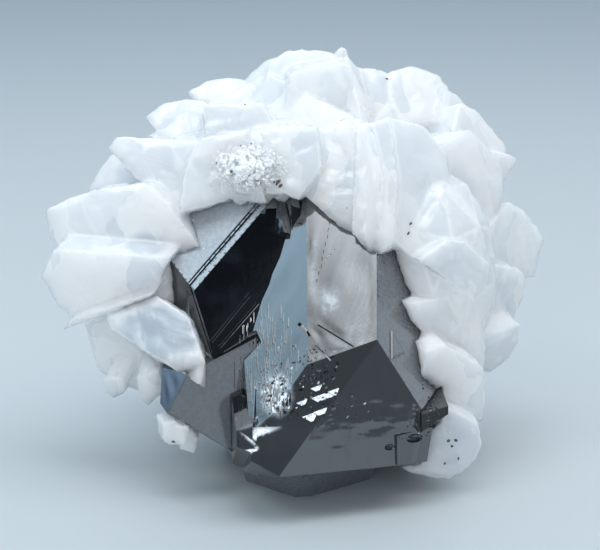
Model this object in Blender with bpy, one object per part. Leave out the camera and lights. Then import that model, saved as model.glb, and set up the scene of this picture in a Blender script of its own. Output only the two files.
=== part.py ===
"""Calcite on sphalerite, a cabinet specimen.

Dark mirror-bright sphalerite crystals stand in front, and a crust of white calcite crystals
wraps their top, both sides and their back. Sizes and places are in millimetres, turned into
metres where the meshes are made. +Z is up and the front faces -Y. A face's direction is given
as (azimuth, elevation) in degrees: azimuth 0 faces the front, -Y, and 90 the right side, +X.
"""
import math
import random

import bmesh
import bpy
from mathutils import Matrix, Vector

MM = 0.001

# Driving dimensions, in millimetres
CLEARANCE = 0.3                # gap between the calcite and the sphalerite under it
RAW_CUBE = 130.0               # side of the raw cube that each crystal is cut from
UP = (0, 0, 1)
DOWN = (0, 0, -1)
LEFT = (-1, 0, 0)
BASE_PLANE = 0.0               # height at which the specimen is cut flat
WELD = 0.004                   # corners closer than this become one

# Corners of the sphalerite that several facets share
TIP = (14.0, -32.0, 29.5)              # where the front triangle, both slopes and the side meet
RIDGE_FOOT = (1.5, -23.5, 34.0)        # on the ridge between the blue and the silver face
BLACK_CORNER = (-17.5, -19.0, 35.5)    # left corner of the black parallelogram
BLACK_FOOT = (-14.0, -27.0, 23.5)      # lower left corner of the black parallelogram
TRIANGLE_FOOT = (-2.0, -40.5, 8.5)     # lowest left corner of the front triangle

# Directions of the facets that smaller steps follow
BLACK_FACE = (5, 35)
GREY_SLOPE = (-27.5, 49)
GLINTING_SLOPE = (-7.5, 27)
SILVER_FACE = (-16.5, 43)
RIGHT_SIDE = (59, 25.5)

# Sphalerite blocks: centre, then each facet as (azimuth, elevation, a point on it)
BLOCKS = {
    "main_crystal": ((5, -12, 28), (
        (20, 7, TIP),                       # front triangle
        (*GLINTING_SLOPE, TIP),             # glinting slope
        (*SILVER_FACE, TIP),                # silver face
        (*RIGHT_SIDE, TIP),                 # right side
        (-36, 38.2, RIDGE_FOOT),            # blue face
        (-82, 2, (-7.0, -35.5, 16.5)),      # left wall
        (14, -79, TRIANGLE_FOOT),           # underside
        (-42, -42, (-4.6, -39.7, 9.8)),     # broken lower left corner
        (75, -10, (23, -30, 17)),
        (115, 5, (24, -12, 28)),
        (180, 0, (0, 5, 0)),
        (-115, 0, (-12, 0, 28)),
        (0, 90, (0, 0, 51)),
    )),
    "black_crystal": ((-12, -14, 30), (
        (*BLACK_FACE, BLACK_CORNER),
        (*GREY_SLOPE, BLACK_CORNER),
        (10, 3, BLACK_FOOT),                # lower front
        (-58, 2, BLACK_CORNER),             # left edge
        (-98, -55, (-17, -28, 13)),         # underside
        (90, 0, (4, 0, 0)),
        (180, 0, (0, 5, 0)),
        (0, 90, (0, 0, 49.5)),
        (-110, 10, (-24, -10, 36)),
    )),
    "striped_crystal": ((-15, -22, 20), (
        (10, 3, BLACK_FOOT),
        (-46, 25, (-19, -28.5, 19)),        # striped face
        (-95, 0, (-22.5, -29, 19)),
        (-98, -55, (-17, -28, 13)),
        (90, 0, (-6, 0, 0)),
        (180, 0, (0, -12, 0)),
        (-50, 62, (-19.5, -26, 22.2)),
    )),
    "resting_lump": ((3, -14, 5), (
        (8, -45, (3, -26, 0)),
        (-45, -30, (-5, -21, 0)),
        (-85, -15, (-8.5, -12, 0)),
        (40, -35, (8, -22, 0)),
        (90, -20, (13.5, -14, 0)),
        (180, 0, (0, -2, 0)),
        (0, 90, (0, 0, 9.5)),
    )),
    "right_lump_high": ((25, -25, 16), (
        (25, 15, (24, -31, 17)),
        (-80, 0, (21, -29, 16)),
        (100, -5, (25.6, -27, 17)),
        (60, -50, (24.5, -27, 13.5)),
        (-10, 75, (24, -28, 17.8)),
        (180, 0, (0, -20, 0)),
    )),
    "right_lump_low": ((20, -26, 11), (
        (30, 5, (20.5, -32, 11)),
        (-80, 0, (17, -31, 11)),
        (95, -10, (23, -29, 11)),
        (20, -70, (19, -31, 7.5)),
        (10, 80, (20, -29, 14)),
        (180, 0, (0, -18, 0)),
    )),
    "left_corner": ((-7, -34, 13), (
        (-9, 24, (-6.9, -37.3, 14.0)),
        (-84, 0, (-9.2, -36.5, 14)),
        (-40, 62, (-8.5, -36.3, 15.4)),
        (-38, -48, (-8.2, -37.6, 12.4)),
        (90, 0, (-5.8, 0, 0)),
        (180, 0, (0, -28, 0)),
    )),
    "crest_block": ((-1, -10, 46), (
        (38, 36, (-1.5, -12.2, 45.5)),
        (-42, 30, (-2.6, -11.2, 46)),
        (95, 0, (-0.4, -11, 45)),
        (180, 0, (0, -4, 0)),
        (0, 90, (0, 0, 49.5)),
        (0, -50, (0, -11.5, 41.5)),
    )),
    "crest_chip": ((0.6, -10, 46), (
        (-12, 30, (0.6, -12.2, 45.0)),
        (85, 10, (1.7, -11, 45)),
        (-88, 0, (-0.1, -11, 45)),
        (180, 0, (0, -5, 0)),
        (0, 90, (0, 0, 48.5)),
        (10, -45, (0.6, -12.6, 43.9)),
    )),
    "crest_flake": ((-3.8, -8, 46.6), (
        (8, 22, (-3.6, -9.9, 47.0)),
        (-70, 30, (-4.6, -9, 48.0)),
        (60, 25, (-2.7, -9, 48.0)),
        (180, 0, (0, -5, 0)),
        (5, -70, (-3.8, -9.5, 46.2)),
        (0, 90, (0, 0, 48.9)),
    )),
}

# Steps down the black face, parallel to its long edge: distance from the black corner to
# the step, and height of the face above it; and the low rim along the long edge itself
BANDS = ((9.0, 0.6), (10.6, 0.3))
RIM_WIDTH = 0.45
RIM_HEIGHT = 0.25
BAND_INSET = 0.12              # how far the strips stop short of the crystal's other facets

# Ledges: the facet that carries them, a point on its upper edge, length, height and reach
# down the facet; their upper faces are parallel to the silver face
LEDGES = (
    (GLINTING_SLOPE, (5.3, -35.2, 21.1), 4.6, 0.28, 1.6),
    (GLINTING_SLOPE, (4.0, -34.5, 22.1), 2.0, 0.22, 0.9),
    (GLINTING_SLOPE, (4.6, -36.3, 18.7), 2.6, 0.26, 1.2),
    (GLINTING_SLOPE, (3.1, -36.9, 17.6), 1.8, 0.22, 1.0),
    (GLINTING_SLOPE, (1.6, -35.3, 19.9), 2.0, 0.22, 1.1),
    (GLINTING_SLOPE, (6.9, -35.3, 21.5), 1.5, 0.20, 0.8),
    (RIGHT_SIDE, (16.5, -29.5, 27.9), 5.4, 0.25, 5.0),
)

LEDGE_BEVEL = 0.4              # slope of a ledge's ends and lower face
LEDGE_TAPER = 0.75             # how much a ledge narrows from its upper edge down
LEDGE_ROOT = 1.5               # depth to which a ledge is rooted in its facet
LEDGE_HEAD = 0.8               # how far a ledge's root reaches above its upper edge

# Notches broken out of the glinting slope: upper left and right end of the edge they start
# from, and a point on their lip
NOTCHES = (
    ((-6.5, -34.7, 19.0), (-1.8, -36.7, 16.2), (-4.5, -37.0, 15.0)),
    ((-8.9, -36.5, 15.0), (-5.0, -38.3, 12.7), (-7.0, -38.0, 12.2)),
)
NOTCH_TURN = 10.0              # angle between a notch's back and its facet

# Shell-shaped hollows broken out of the right corner: centre, half-sizes, turn and tilt
HOLLOWS = (
    ((20.6, -32.2, 12.4), (1.6, 1.0, 0.8), 20, 10),
    ((16.4, -33.9, 11.4), (1.1, 0.8, 0.6), 20, 10),
)

# Cracks: facet, the points they run through, and half their width at each stretch
CRACKS = (
    (SILVER_FACE, ((1.0, -26.6, 31.0), (2.4, -28.2, 29.8), (3.8, -30.3, 28.1)), 0.28),
    (SILVER_FACE, ((3.8, -30.3, 28.1), (5.2, -31.7, 27.2), (6.3, -32.9, 26.3)), 0.12),
    (SILVER_FACE, ((4.3, -27.8, 30.9), (10.2, -32.1, 28.3)), 0.12),
)
CRACK_DEPTH = 0.9

# Calcite blades: name, facing, a point on the broad face, its outline in the plane of that
# face as (right, up), thickness, and the lean of its back as (right, up) per millimetre
BLADES = (
    ("left_wing", (-12, 10), (-30.5, -10.5, 42.5),
     ((-13, 3.5), (-9, 5.5), (-4, 7.5), (4.5, 9), (9, 5.5), (15, -1.5), (9.5, -4),
       (-9.5, -10), (-11.5, -3.5)),
     9.0, (0.25, 0.0)),
    ("left_wing_foot", (-10, -6), (-33.0, -15.0, 34.5),
     ((-10.5, 1), (-8, 6), (12.5, 5.5), (9.5, -1), (-5.5, -6.5), (-8, -4)), 12.0, (0.2, 0.15)),
    ("left_ledge", (-10, -15), (-32.0, -17.0, 30.5),
     ((-9, -5.5), (-6, -2), (9, 4), (8.5, 2.5), (-1, -1.5)), 10.0, (0.2, 0.1)),
    ("left_fin", (-40, 25), (-32.0, 6.0, 49.5),
     ((-5.5, -4), (-4.5, -1), (-2.5, 3.5), (0.5, 5), (9, -1.5), (3.5, -5)), 14.0, (0.2, -0.2)),
    ("shoulder_plate", (-15, 20), (-23.0, -4.0, 53.0),
     ((-11.5, 4), (-11, 5), (-8.5, 5), (-5.5, 9), (-2.5, 9), (8, 5), (9.5, -0.5), (8, -7),
       (2.5, -8.5), (-2.5, -4)),
     14.0, (0.25, -0.1)),
    ("brow_plate", (3, 16), (-13.5, -9.0, 53.5),
     ((-6, -7.5), (-5, 0), (-2, 5.5), (6.5, 7), (5.5, -1), (2.5, -5.5)), 14.0, (0.0, 0.0)),
    ("cheek_blade", (-25, 30), (-21.5, -23.0, 27.5),
     ((-12.5, 2.5), (-3.5, 7), (3.5, 4), (8.5, -3.5), (8.5, -7.5), (-2, -3.5),
       (-10.5, 0)), 2.8, (0.0, 0.0)),
    ("shoulder_top_a", (-10, 42), (-12.0, 9.5, 63.0),
     ((-8.5, -0.5), (-6.5, 1.5), (-4, 3.5), (0, 4.5), (3, 4), (7.5, 2), (7.5, -4.5),
       (-1, -3.5), (-4.5, -1)),
     14.0, (0.1, 0.0)),
    ("shoulder_top_b", (-25, 32), (-20.0, 3.5, 60.0),
     ((-7, 0), (-5.5, 1.5), (-4, 3), (0, 4), (4, 4), (7.5, 1.5), (7.5, -4.5),
       (-2, -4.5)), 14.0, (0.2, 0.0)),
    ("shoulder_top_c", (5, 28), (-10.5, -3.0, 59.5),
     ((-5, 4.5), (5.5, 5), (8, 0), (4, -4.5), (-4.5, -3.5)), 14.0, (0.0, 0.0)),
    ("crown_block", (4, 38), (4.0, 8.0, 65.5),
     ((-9.5, -1.5), (-8, 4.5), (-5, 7), (-2, 7.5), (2.5, 7), (6.5, 5), (9.5, 2.5),
       (10.5, -5.5), (5, -6.5),
      (-4, -8.5), (-9, -7)), 16.0, (0.0, 0.1)),
    ("crown_step", (6, 14), (4.5, 3.0, 65.0),
     ((-5, 3), (-3, 4), (5, 5), (6.5, 2), (5.5, -3.5), (-2.5, -5.5),
       (-6, -3.5)), 10.0, (0.0, 0.25)),
    ("crown_nub", (10, 20), (9.0, 10.5, 70.5),
     ((-1, 1), (0, 1.5), (1, 1), (1.5, -1.5), (-1, -1.5)), 5.0, (0.0, 0.0)),
    ("brow_left", (-15, 22), (-0.5, -10.0, 57.0),
     ((-5.5, 3), (-0.5, 4.5), (4.5, 4.5), (6, -2.5), (2.5, -8.5), (-0.5, -7.5),
       (-3.5, -5)), 12.0, (0.0, 0.1)),
    ("crown_back", (-20, 45), (-5.5, 14.5, 66.0),
     ((-3.5, -1.5), (-2, 1.5), (0, 4), (4, 6), (5, -3), (1, -4.5)), 16.0, (0.2, 0.1)),
    ("crown_right_a", (10, 34), (15.0, 9.0, 64.5),
     ((-4, 5.5), (-1, 4.5), (1.5, 4.5), (4, 4), (5, -1), (0.5, -6), (-4, -4.5)), 16.0, (0.0, 0.0)),
    ("crown_right_b", (15, 36), (23.0, 9.5, 63.5),
     ((-5, 5), (-0.5, 6), (2, 5), (4, 4), (6, 1.5), (4, -5), (-4, -6),
       (-5.5, -0.5)), 18.0, (-0.1, 0.0)),
    ("crown_right_c", (35, 28), (29.5, 9.5, 59.5),
     ((-0.5, 6), (2, 4), (3, 2), (3, -4), (-3.5, -5), (-4.5, 1.5)), 14.0, (-0.1, 0.0)),
    ("right_shoulder", (40, 20), (34.5, 7.5, 55.5),
     ((-3.5, 7.5), (0, 5.5), (1.5, 3.5), (3.5, 1), (5, -1), (5, -3), (0.5, -7),
       (-5.5, -4.5), (-7, 2.5)),
     18.0, (-0.2, 0.0)),
    ("right_tooth", (30, 5), (37.5, 6.5, 51.0),
     ((-1, 3), (2, 2), (4, 1), (2.5, -1), (0.5, -3), (-2.5, -1)), 12.0, (-0.2, 0.0)),
    ("brow_centre", (-22, 25), (6.5, -11.5, 53.5),
     ((-8.5, 3), (-4, 7.5), (1.5, 10), (6, 9), (9, 2.5), (11, -14.5), (6.5, -11.5), (2, -9),
       (-4, -7), (-6.5, -4.5)),
     14.0, (0.0, 0.1)),
    ("brow_right_a", (-8, 28), (14.0, -15.5, 51.5),
     ((-4, 11), (2, 13), (4, 2), (4, -9.5), (1, -12), (-0.5, -11), (-3.5, -8)), 14.0, (0.1, 0.1)),
    ("brow_right_b", (18, 26), (22.0, -14.5, 49.5),
     ((-4, 15), (2.5, 13), (6, 7.5), (6, -0.5), (3, -7.5), (-2.5, -11),
       (-6, -7)), 18.0, (-0.1, 0.1)),
    ("temple", (40, 12), (32.0, -3.5, 48.0),
     ((-7, 9), (1, 11.5), (7, 5.5), (8, 2), (6.5, -3), (0, -8.5), (-7, -6.5)), 18.0, (-0.1, 0.0)),
    ("right_cheek", (25, 0), (23.5, -21.0, 37.5),
     ((-10.5, 4), (-6.5, 6), (-2.5, 3), (3, 6), (6.5, 5.5), (11.5, 1), (11, -2.5), (8, -6),
       (2, -5.5), (-5.5, -4.5)),
     18.0, (0.0, 0.0)),
    ("right_jaw", (35, 2), (27.0, -19.0, 27.5),
     ((-10.5, 6), (-2, 6), (5, 5), (7.5, -0.5), (8, -4), (7.5, -9), (-5.5, -3.5),
       (-7.5, 2.5)), 16.0, (0.0, 0.1)),
    ("right_jaw_low", (28, -8), (27.0, -24.0, 19.5),
     ((-5.5, 6.5), (-2, 7.5), (6.5, 2), (7.5, -5), (7, -9), (-1.5, -3.5), (-5, -1.5),
       (-6, 2.5)), 16.0, (0.0, 0.1)),
    ("right_wing", (55, 5), (39.0, 1.5, 38.5),
     ((-11, 2), (2, 7.5), (5.5, 4.5), (11.5, 1.5), (12.5, -2), (8, -8.5), (1, -6.5),
       (-8, -2.5)), 16.0, (-0.2, 0.0)),
    ("right_wing_low", (50, -10), (38.5, -4.0, 29.0),
     ((-9.5, 9), (-0.5, 6), (7, 3), (5, -0.5), (6, -6), (6, -9), (0, -8.5),
       (-5.5, -4.5)), 14.0, (-0.1, 0.1)),
    ("right_wing_tip", (45, -20), (37.0, -7.5, 20.5),
     ((-6.5, 4.5), (3, 5), (4.5, 0.5), (3, -2.5), (-1, -4.5), (-4, -3.5)), 14.0, (-0.1, 0.3)),
    ("clear_lobe", (15, -10), (25.5, -25.5, 10.0),
     ((-7, -5), (-6.5, 0.5), (-3.5, 7), (-1, 7), (6.5, 2.5), (7.5, -2), (6.5, -4.5),
       (4.5, -7), (2, -8),
      (-1, -7.5), (-5, -6)), 9.0, (0.0, 0.2)),
    ("chin_left", (-25, -10), (-29.0, -11.0, 21.5),
     ((-8, 4), (-2, 6.5), (5, 0.5), (8, -4), (4, -8), (-2, -7), (-6.5, -4.5)), 14.0, (0.1, 0.2)),
    ("chin_knob_a", (-20, -15), (-31.0, -14.5, 16.0),
     ((-2, 1), (-0.5, 2), (2, 1.5), (2, -1), (-0.5, -2.5), (-2, -1.5)), 7.0, (0.0, 0.3)),
    ("chin_knob_b", (-10, -20), (-24.5, -19.5, 16.5),
     ((-2, 3), (2, 4.5), (3, 0.5), (1.5, -1), (-0.5, -3.5), (-2, -1)), 8.0, (0.0, 0.3)),
)

# The massive calcite that the crystals grow from: centre and half-sizes of its lobes
LOBES = (
    ((0, 12, 38), (33, 20, 26)),
    ((4, 10, 17), (26, 17, 19)),
    ((-22, -4, 32), (13, 12, 14)),
    ((24, -8, 34), (12, 12, 20)),
    ((-2, 0, 54), (22, 6, 7)),
)

# Blocky calcite crystals scattered over the crown, the sides and the back
CRUST_CENTRE = (0, 12, 36)
CRUST_RADII = (34, 22, 28)
CRUST_COUNT = 130
CRUST_SEED = 11
CRUST_SIZE = (5.5, 10.5)       # centre to face
CRUST_LOWEST = 3.0             # crystals centred lower than this are left out
CRUST_FRONT_LIMIT = -0.30      # outward directions further to the front carry blades instead
CRUST_TILT = (38.0, 48.0)      # angle between a crystal's long axis and its faces' normals
CRUST_STRAY = 0.45             # how far a long axis strays from pointing straight out
CRUST_SINK = 0.38              # how deep the largest crystals are sunk

# The sugary patch above the black face
PATCH_CENTRE = (-6.2, -6.5, 52.0)
PATCH_RADII = (7.0, 5.0, 4.4)
PATCH_COUNT = 48
PATCH_SIZE = (1.0, 1.9)
PATCH_STRAY = 0.6
PATCH_BACK_LIMIT = 0.3         # grains further back than this are left out
CLEAVAGE_TILT = 45.0           # angle between a grain's long axis and its faces' normals

# The separate knob: centre, long axis and centre-to-face size of its crystals
KNOB = (
    ((-20.5, -27.0, 13.0), (-30, 20), 1.8),
    ((-18.6, -27.6, 11.6), (10, -30), 1.7),
    ((-17.4, -26.6, 10.6), (60, 10), 1.5),
)


GUIDES = ("blocks", "breaks", "crystals", "grains", "clearance")
# Colour, roughness and metallic of each piece's own material
FINISHES = {
    "sphalerite": ((0.035, 0.038, 0.042), 0.12, 0.3),
    "calcite": ((0.86, 0.90, 0.93), 0.35, 0.0),
    "calcite_knob": ((0.84, 0.89, 0.93), 0.40, 0.0),
}


def direction(azimuth, elevation):
    """Unit vector that points out of a face turned this way."""
    turn = math.radians(azimuth)
    rise = math.radians(elevation)
    flat = math.cos(rise)
    return Vector((math.sin(turn) * flat, -math.cos(turn) * flat, math.sin(rise)))


def clear_scene():
    for thing in list(bpy.data.objects):
        bpy.data.objects.remove(thing)


def make_collection(name):
    collection = bpy.data.collections.new(name)
    bpy.context.scene.collection.children.link(collection)
    return collection


def make_material(name, colour, roughness, metallic):
    material = bpy.data.materials.new(name)
    material.use_nodes = True
    shader = material.node_tree.nodes["Principled BSDF"]
    shader.inputs["Base Color"].default_value = (*colour, 1.0)
    shader.inputs["Roughness"].default_value = roughness
    shader.inputs["Metallic"].default_value = metallic
    return material


def add_object(name, mesh, collection):
    """Turn a bmesh into an object of a collection."""
    bmesh.ops.recalc_face_normals(mesh, faces=mesh.faces[:])
    data = bpy.data.meshes.new(name)
    mesh.to_mesh(data)
    mesh.free()
    thing = bpy.data.objects.new(name, data)
    collection.objects.link(thing)
    return thing


def cut(mesh, point, outward):
    """Cut away what lies beyond a plane, and close the cut."""
    result = bmesh.ops.bisect_plane(
        mesh, geom=mesh.verts[:] + mesh.edges[:] + mesh.faces[:], dist=1e-7,
        plane_co=point, plane_no=outward, clear_outer=True)
    rim = [item for item in result["geom_cut"] if isinstance(item, bmesh.types.BMEdge)]
    if rim:
        bmesh.ops.holes_fill(mesh, edges=rim)


def raw_cube(centre):
    mesh = bmesh.new()
    bmesh.ops.create_cube(mesh, size=RAW_CUBE * MM, matrix=Matrix.Translation(Vector(centre) * MM))
    return mesh


def block(centre, facets, grow=0.0):
    """A sphalerite block, each facet moved outwards by grow millimetres."""
    mesh = raw_cube(centre)
    for azimuth, elevation, point in facets:
        outward = direction(azimuth, elevation)
        cut(mesh, (Vector(point) + outward * grow) * MM, outward)
    cut(mesh, Vector((0, 0, BASE_PLANE)) * MM, Vector(DOWN))
    return mesh


def pointing(way, towards):
    """A direction, or its opposite, whichever points the way wanted."""
    return way if way.dot(Vector(towards)) > 0 else -way


def face_edge(one, other):
    """Direction of the edge between two facets, pointing upwards."""
    return pointing(direction(*one).cross(direction(*other)).normalized(), UP)


def band_blocks():
    """The steps and the rim of the black face, each a copy of its crystal cut to a strip."""
    centre, facets = BLOCKS["black_crystal"]
    corner = Vector(BLACK_CORNER)
    along = face_edge(BLACK_FACE, GREY_SLOPE)
    down_face = pointing(along.cross(direction(*BLACK_FACE)), DOWN)
    up_slope = pointing(along.cross(direction(*GREY_SLOPE)), LEFT)
    strips = []
    for start, height in BANDS:
        strips.append((centre, raised(facets, 0, height), corner + down_face * start, down_face))
    strips.append((centre, raised(facets, 1, RIM_HEIGHT), corner + up_slope * RIM_WIDTH, up_slope))
    return strips


def raised(facets, carrier, height):
    """The same facets with one of them raised, and the others drawn in a little."""
    moved = []
    for index, (azimuth, elevation, point) in enumerate(facets):
        step = height if index == carrier else -BAND_INSET
        moved.append((azimuth, elevation, Vector(point) + direction(azimuth, elevation) * step))
    return tuple(moved)


def ledge(carrier, point, length, height, reach, grow=0.0):
    """A low ledge on a facet, with its upper face parallel to the silver face."""
    base_out = direction(*carrier)
    upper_out = direction(*SILVER_FACE)
    along = face_edge(carrier, SILVER_FACE)
    down = pointing(along.cross(base_out), -upper_out)
    middle = Vector(point)
    mesh = raw_cube(point)
    lift = base_out * LEDGE_BEVEL
    faces = (
        (middle + base_out * height, base_out),
        (middle, upper_out),
        (middle + along * length / 2, (along + down * LEDGE_TAPER + lift).normalized()),
        (middle - along * length / 2, (down * LEDGE_TAPER + lift - along).normalized()),
        (middle + down * reach, (down + lift).normalized()),
        (middle - down * LEDGE_HEAD, -down),
        (middle - base_out * LEDGE_ROOT, -base_out),
    )
    for place, outward in faces:
        cut(mesh, (place + outward * grow) * MM, outward)
    return mesh


def blade(turned, point, outline, thickness, lean):
    """A calcite blade: a leaning prism behind its broad face."""
    front = direction(*turned)
    right = direction(turned[0] + 90, 0)
    up = front.cross(right)
    middle = Vector(point)
    backwards = (right * lean[0] + up * lean[1] - front).normalized()
    mesh = raw_cube(point)
    cut(mesh, middle * MM, front)
    cut(mesh, (middle - front * thickness) * MM, -front)
    corners = [middle + right * x + up * y for x, y in outline]
    heart = sum(corners, Vector()) / len(corners)
    for start, end in zip(corners, corners[1:] + corners[:1]):
        side = (end - start).cross(backwards).normalized()
        if side.dot(start - heart) < 0:
            side = -side
        cut(mesh, start * MM, side)
    return mesh


def rhomb(centre, axis, spin, size, tilt):
    """A rhombohedron: three faces round each end of its axis, size from centre to face."""
    mesh = raw_cube(centre)
    frame = axis.to_track_quat("Z", "X").to_matrix()
    for third in range(3):
        turn = spin + third * 2 * math.pi / 3
        across = Vector((math.cos(turn), math.sin(turn), 0)) * math.sin(tilt)
        outward = frame @ (across + Vector((0, 0, math.cos(tilt))))
        cut(mesh, (Vector(centre) + outward * size) * MM, outward)
        cut(mesh, (Vector(centre) - outward * size) * MM, -outward)
    return mesh


def spiral(count):
    """Directions spread evenly over a sphere."""
    golden = math.pi * (3 - math.sqrt(5))
    for index in range(count):
        height = 1 - 2 * (index + 0.5) / count
        ring = math.sqrt(1 - height * height)
        yield Vector((ring * math.cos(golden * index), ring * math.sin(golden * index), height))


def half_sizes(radii):
    return Matrix.Diagonal([radius * MM for radius in radii] + [1.0])


def lobe(centre, radii):
    mesh = bmesh.new()
    bmesh.ops.create_icosphere(
        mesh, subdivisions=2, radius=1.0,
        matrix=Matrix.Translation(Vector(centre) * MM) @ half_sizes(radii))
    return mesh


def stray(way, amount, rng):
    """A direction turned away from another by a random amount."""
    return (way + Vector([rng.uniform(-amount, amount) for _ in range(3)])).normalized()


def ellipsoid_point(centre, radii, way):
    return Vector(centre) + Vector([r * w for r, w in zip(radii, way)])


def hollow(centre, radii, turn, tilt):
    mesh = bmesh.new()
    place = Matrix.Translation(Vector(centre) * MM) @ Matrix.Rotation(math.radians(turn), 4, "Z")
    place = place @ Matrix.Rotation(math.radians(-tilt), 4, "X") @ half_sizes(radii)
    bmesh.ops.create_uvsphere(mesh, u_segments=14, v_segments=9, radius=1.0, matrix=place)
    return mesh


def notch(top, right, lip):
    """The space in front of a notch's back and above its lip."""
    facet = direction(*GLINTING_SLOPE)
    hinge = (Vector(right) - Vector(top)).normalized()
    back = Matrix.Rotation(math.radians(NOTCH_TURN), 3, hinge) @ facet
    mesh = raw_cube(top)
    for point, inward in ((top, back), (lip, direction(*SILVER_FACE)), (top, Vector((1, 0, 0))),
                          (right, Vector(LEFT))):
        cut(mesh, Vector(point) * MM, -inward)
    return mesh


def crack(facet, start, end, half_width):
    """A narrow slot, square to its facet."""
    start = Vector(start) * MM
    end = Vector(end) * MM
    out = direction(*facet)
    run = (end - start).normalized()
    across = out.cross(run).normalized()
    turn = Matrix((run, across, run.cross(across))).transposed().to_4x4()
    size = Matrix.Diagonal(((end - start).length, half_width * 2 * MM, CRACK_DEPTH * 2 * MM, 1.0))
    mesh = bmesh.new()
    bmesh.ops.create_cube(mesh, size=1.0,
                          matrix=Matrix.Translation((start + end) / 2) @ turn @ size)
    return mesh


def combine(base, others, operation):
    """Boolean of an object with all the objects of a collection."""
    modifier = base.modifiers.new(operation.lower(), "BOOLEAN")
    modifier.operation = operation
    modifier.solver = "EXACT"
    modifier.operand_type = "COLLECTION"
    modifier.collection = others


def hide_guides(collection):
    for thing in collection.objects:
        thing.hide_render = True
        thing.display_type = "WIRE"


def bake(thing):
    """Apply the modifiers, keep the largest body, and clean the mesh."""
    graph = bpy.context.evaluated_depsgraph_get()
    data = bpy.data.meshes.new_from_object(thing.evaluated_get(graph))
    mesh = bmesh.new()
    mesh.from_mesh(data)
    bmesh.ops.remove_doubles(mesh, verts=mesh.verts[:], dist=WELD * MM)
    bmesh.ops.dissolve_degenerate(mesh, edges=mesh.edges[:], dist=WELD * MM)
    keep_largest(mesh)
    bmesh.ops.triangulate(mesh, faces=mesh.faces[:])
    thing.modifiers.clear()
    mesh.to_mesh(thing.data)
    mesh.free()
    bpy.data.meshes.remove(data)


def keep_largest(mesh):
    """Delete every body of a mesh but the one with the most faces."""
    waiting = set(mesh.faces)
    bodies = []
    while waiting:
        reached = [waiting.pop()]
        body = []
        while reached:
            face = reached.pop()
            body.append(face)
            for edge in face.edges:
                for other in edge.link_faces:
                    if other in waiting:
                        waiting.remove(other)
                        reached.append(other)
        bodies.append(body)
    bodies.sort(key=len, reverse=True)
    spare = [face for body in bodies[1:] for face in body]
    bmesh.ops.delete(mesh, geom=spare, context="FACES")
    wires = [edge for edge in mesh.edges if not edge.link_faces]
    bmesh.ops.delete(mesh, geom=wires, context="EDGES")
    loose = [vert for vert in mesh.verts if not vert.link_faces]
    bmesh.ops.delete(mesh, geom=loose, context="VERTS")


def build_sphalerite(specimen, blocks, breaks):
    body = None
    for name, (centre, facets) in BLOCKS.items():
        if body is None:
            body = add_object("sphalerite", block(centre, facets), specimen)
        else:
            add_object(name, block(centre, facets), blocks)
    for index, (centre, facets, point, outward) in enumerate(band_blocks()):
        mesh = block(centre, facets)
        cut(mesh, point * MM, outward)
        add_object("band_%d" % index, mesh, blocks)
    for index, shape in enumerate(LEDGES):
        add_object("ledge_%d" % index, ledge(*shape), blocks)
    for index, shape in enumerate(NOTCHES):
        add_object("notch_%d" % index, notch(*shape), breaks)
    for index, shape in enumerate(HOLLOWS):
        add_object("hollow_%d" % index, hollow(*shape), breaks)
    for index, (facet, points, half_width) in enumerate(CRACKS):
        for start, end in zip(points, points[1:]):
            add_object("crack_%d" % index, crack(facet, start, end, half_width), breaks)
    combine(body, blocks, "UNION")
    combine(body, breaks, "DIFFERENCE")
    bake(body)
    return body


def build_calcite(specimen, crystals, clearance):
    body = add_object("calcite", lobe(*LOBES[0]), specimen)
    for index, shape in enumerate(LOBES[1:]):
        add_object("lobe_%d" % index, lobe(*shape), crystals)
    for name, turned, point, outline, thickness, lean in BLADES:
        add_object(name, blade(turned, point, outline, thickness, lean), crystals)
    rng = random.Random(CRUST_SEED)
    for index, way in enumerate(spiral(CRUST_COUNT)):
        axis = stray(way, CRUST_STRAY, rng)
        spin = rng.uniform(0, 2 * math.pi)
        size = rng.uniform(*CRUST_SIZE)
        tilt = math.radians(rng.uniform(*CRUST_TILT))
        sunk = 1 - CRUST_SINK * size / CRUST_SIZE[1]
        place = ellipsoid_point(CRUST_CENTRE, CRUST_RADII, way * sunk)
        if way.y < CRUST_FRONT_LIMIT or place.z < CRUST_LOWEST:
            continue
        add_object("crust_%d" % index, rhomb(place, axis, spin, size, tilt), crystals)
    for index, way in enumerate(spiral(PATCH_COUNT)):
        if way.y > PATCH_BACK_LIMIT:
            continue
        axis = stray(way, PATCH_STRAY, rng)
        spin = rng.uniform(0, 2 * math.pi)
        size = rng.uniform(*PATCH_SIZE)
        place = ellipsoid_point(PATCH_CENTRE, PATCH_RADII, way)
        grain = rhomb(place, axis, spin, size, math.radians(CLEAVAGE_TILT))
        add_object("patch_%d" % index, grain, crystals)
    add_object("patch_heart", lobe(PATCH_CENTRE, PATCH_RADII), crystals)
    combine(body, crystals, "UNION")
    combine(body, clearance, "DIFFERENCE")
    bake(body)
    return body


def build_knob(specimen, grains, clearance):
    body = None
    for index, (centre, axis, size) in enumerate(KNOB):
        mesh = rhomb(centre, direction(*axis), index, size, math.radians(CLEAVAGE_TILT))
        if body is None:
            body = add_object("calcite_knob", mesh, specimen)
        else:
            add_object("grain_%d" % index, mesh, grains)
    combine(body, grains, "UNION")
    combine(body, clearance, "DIFFERENCE")
    bake(body)
    return body


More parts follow.
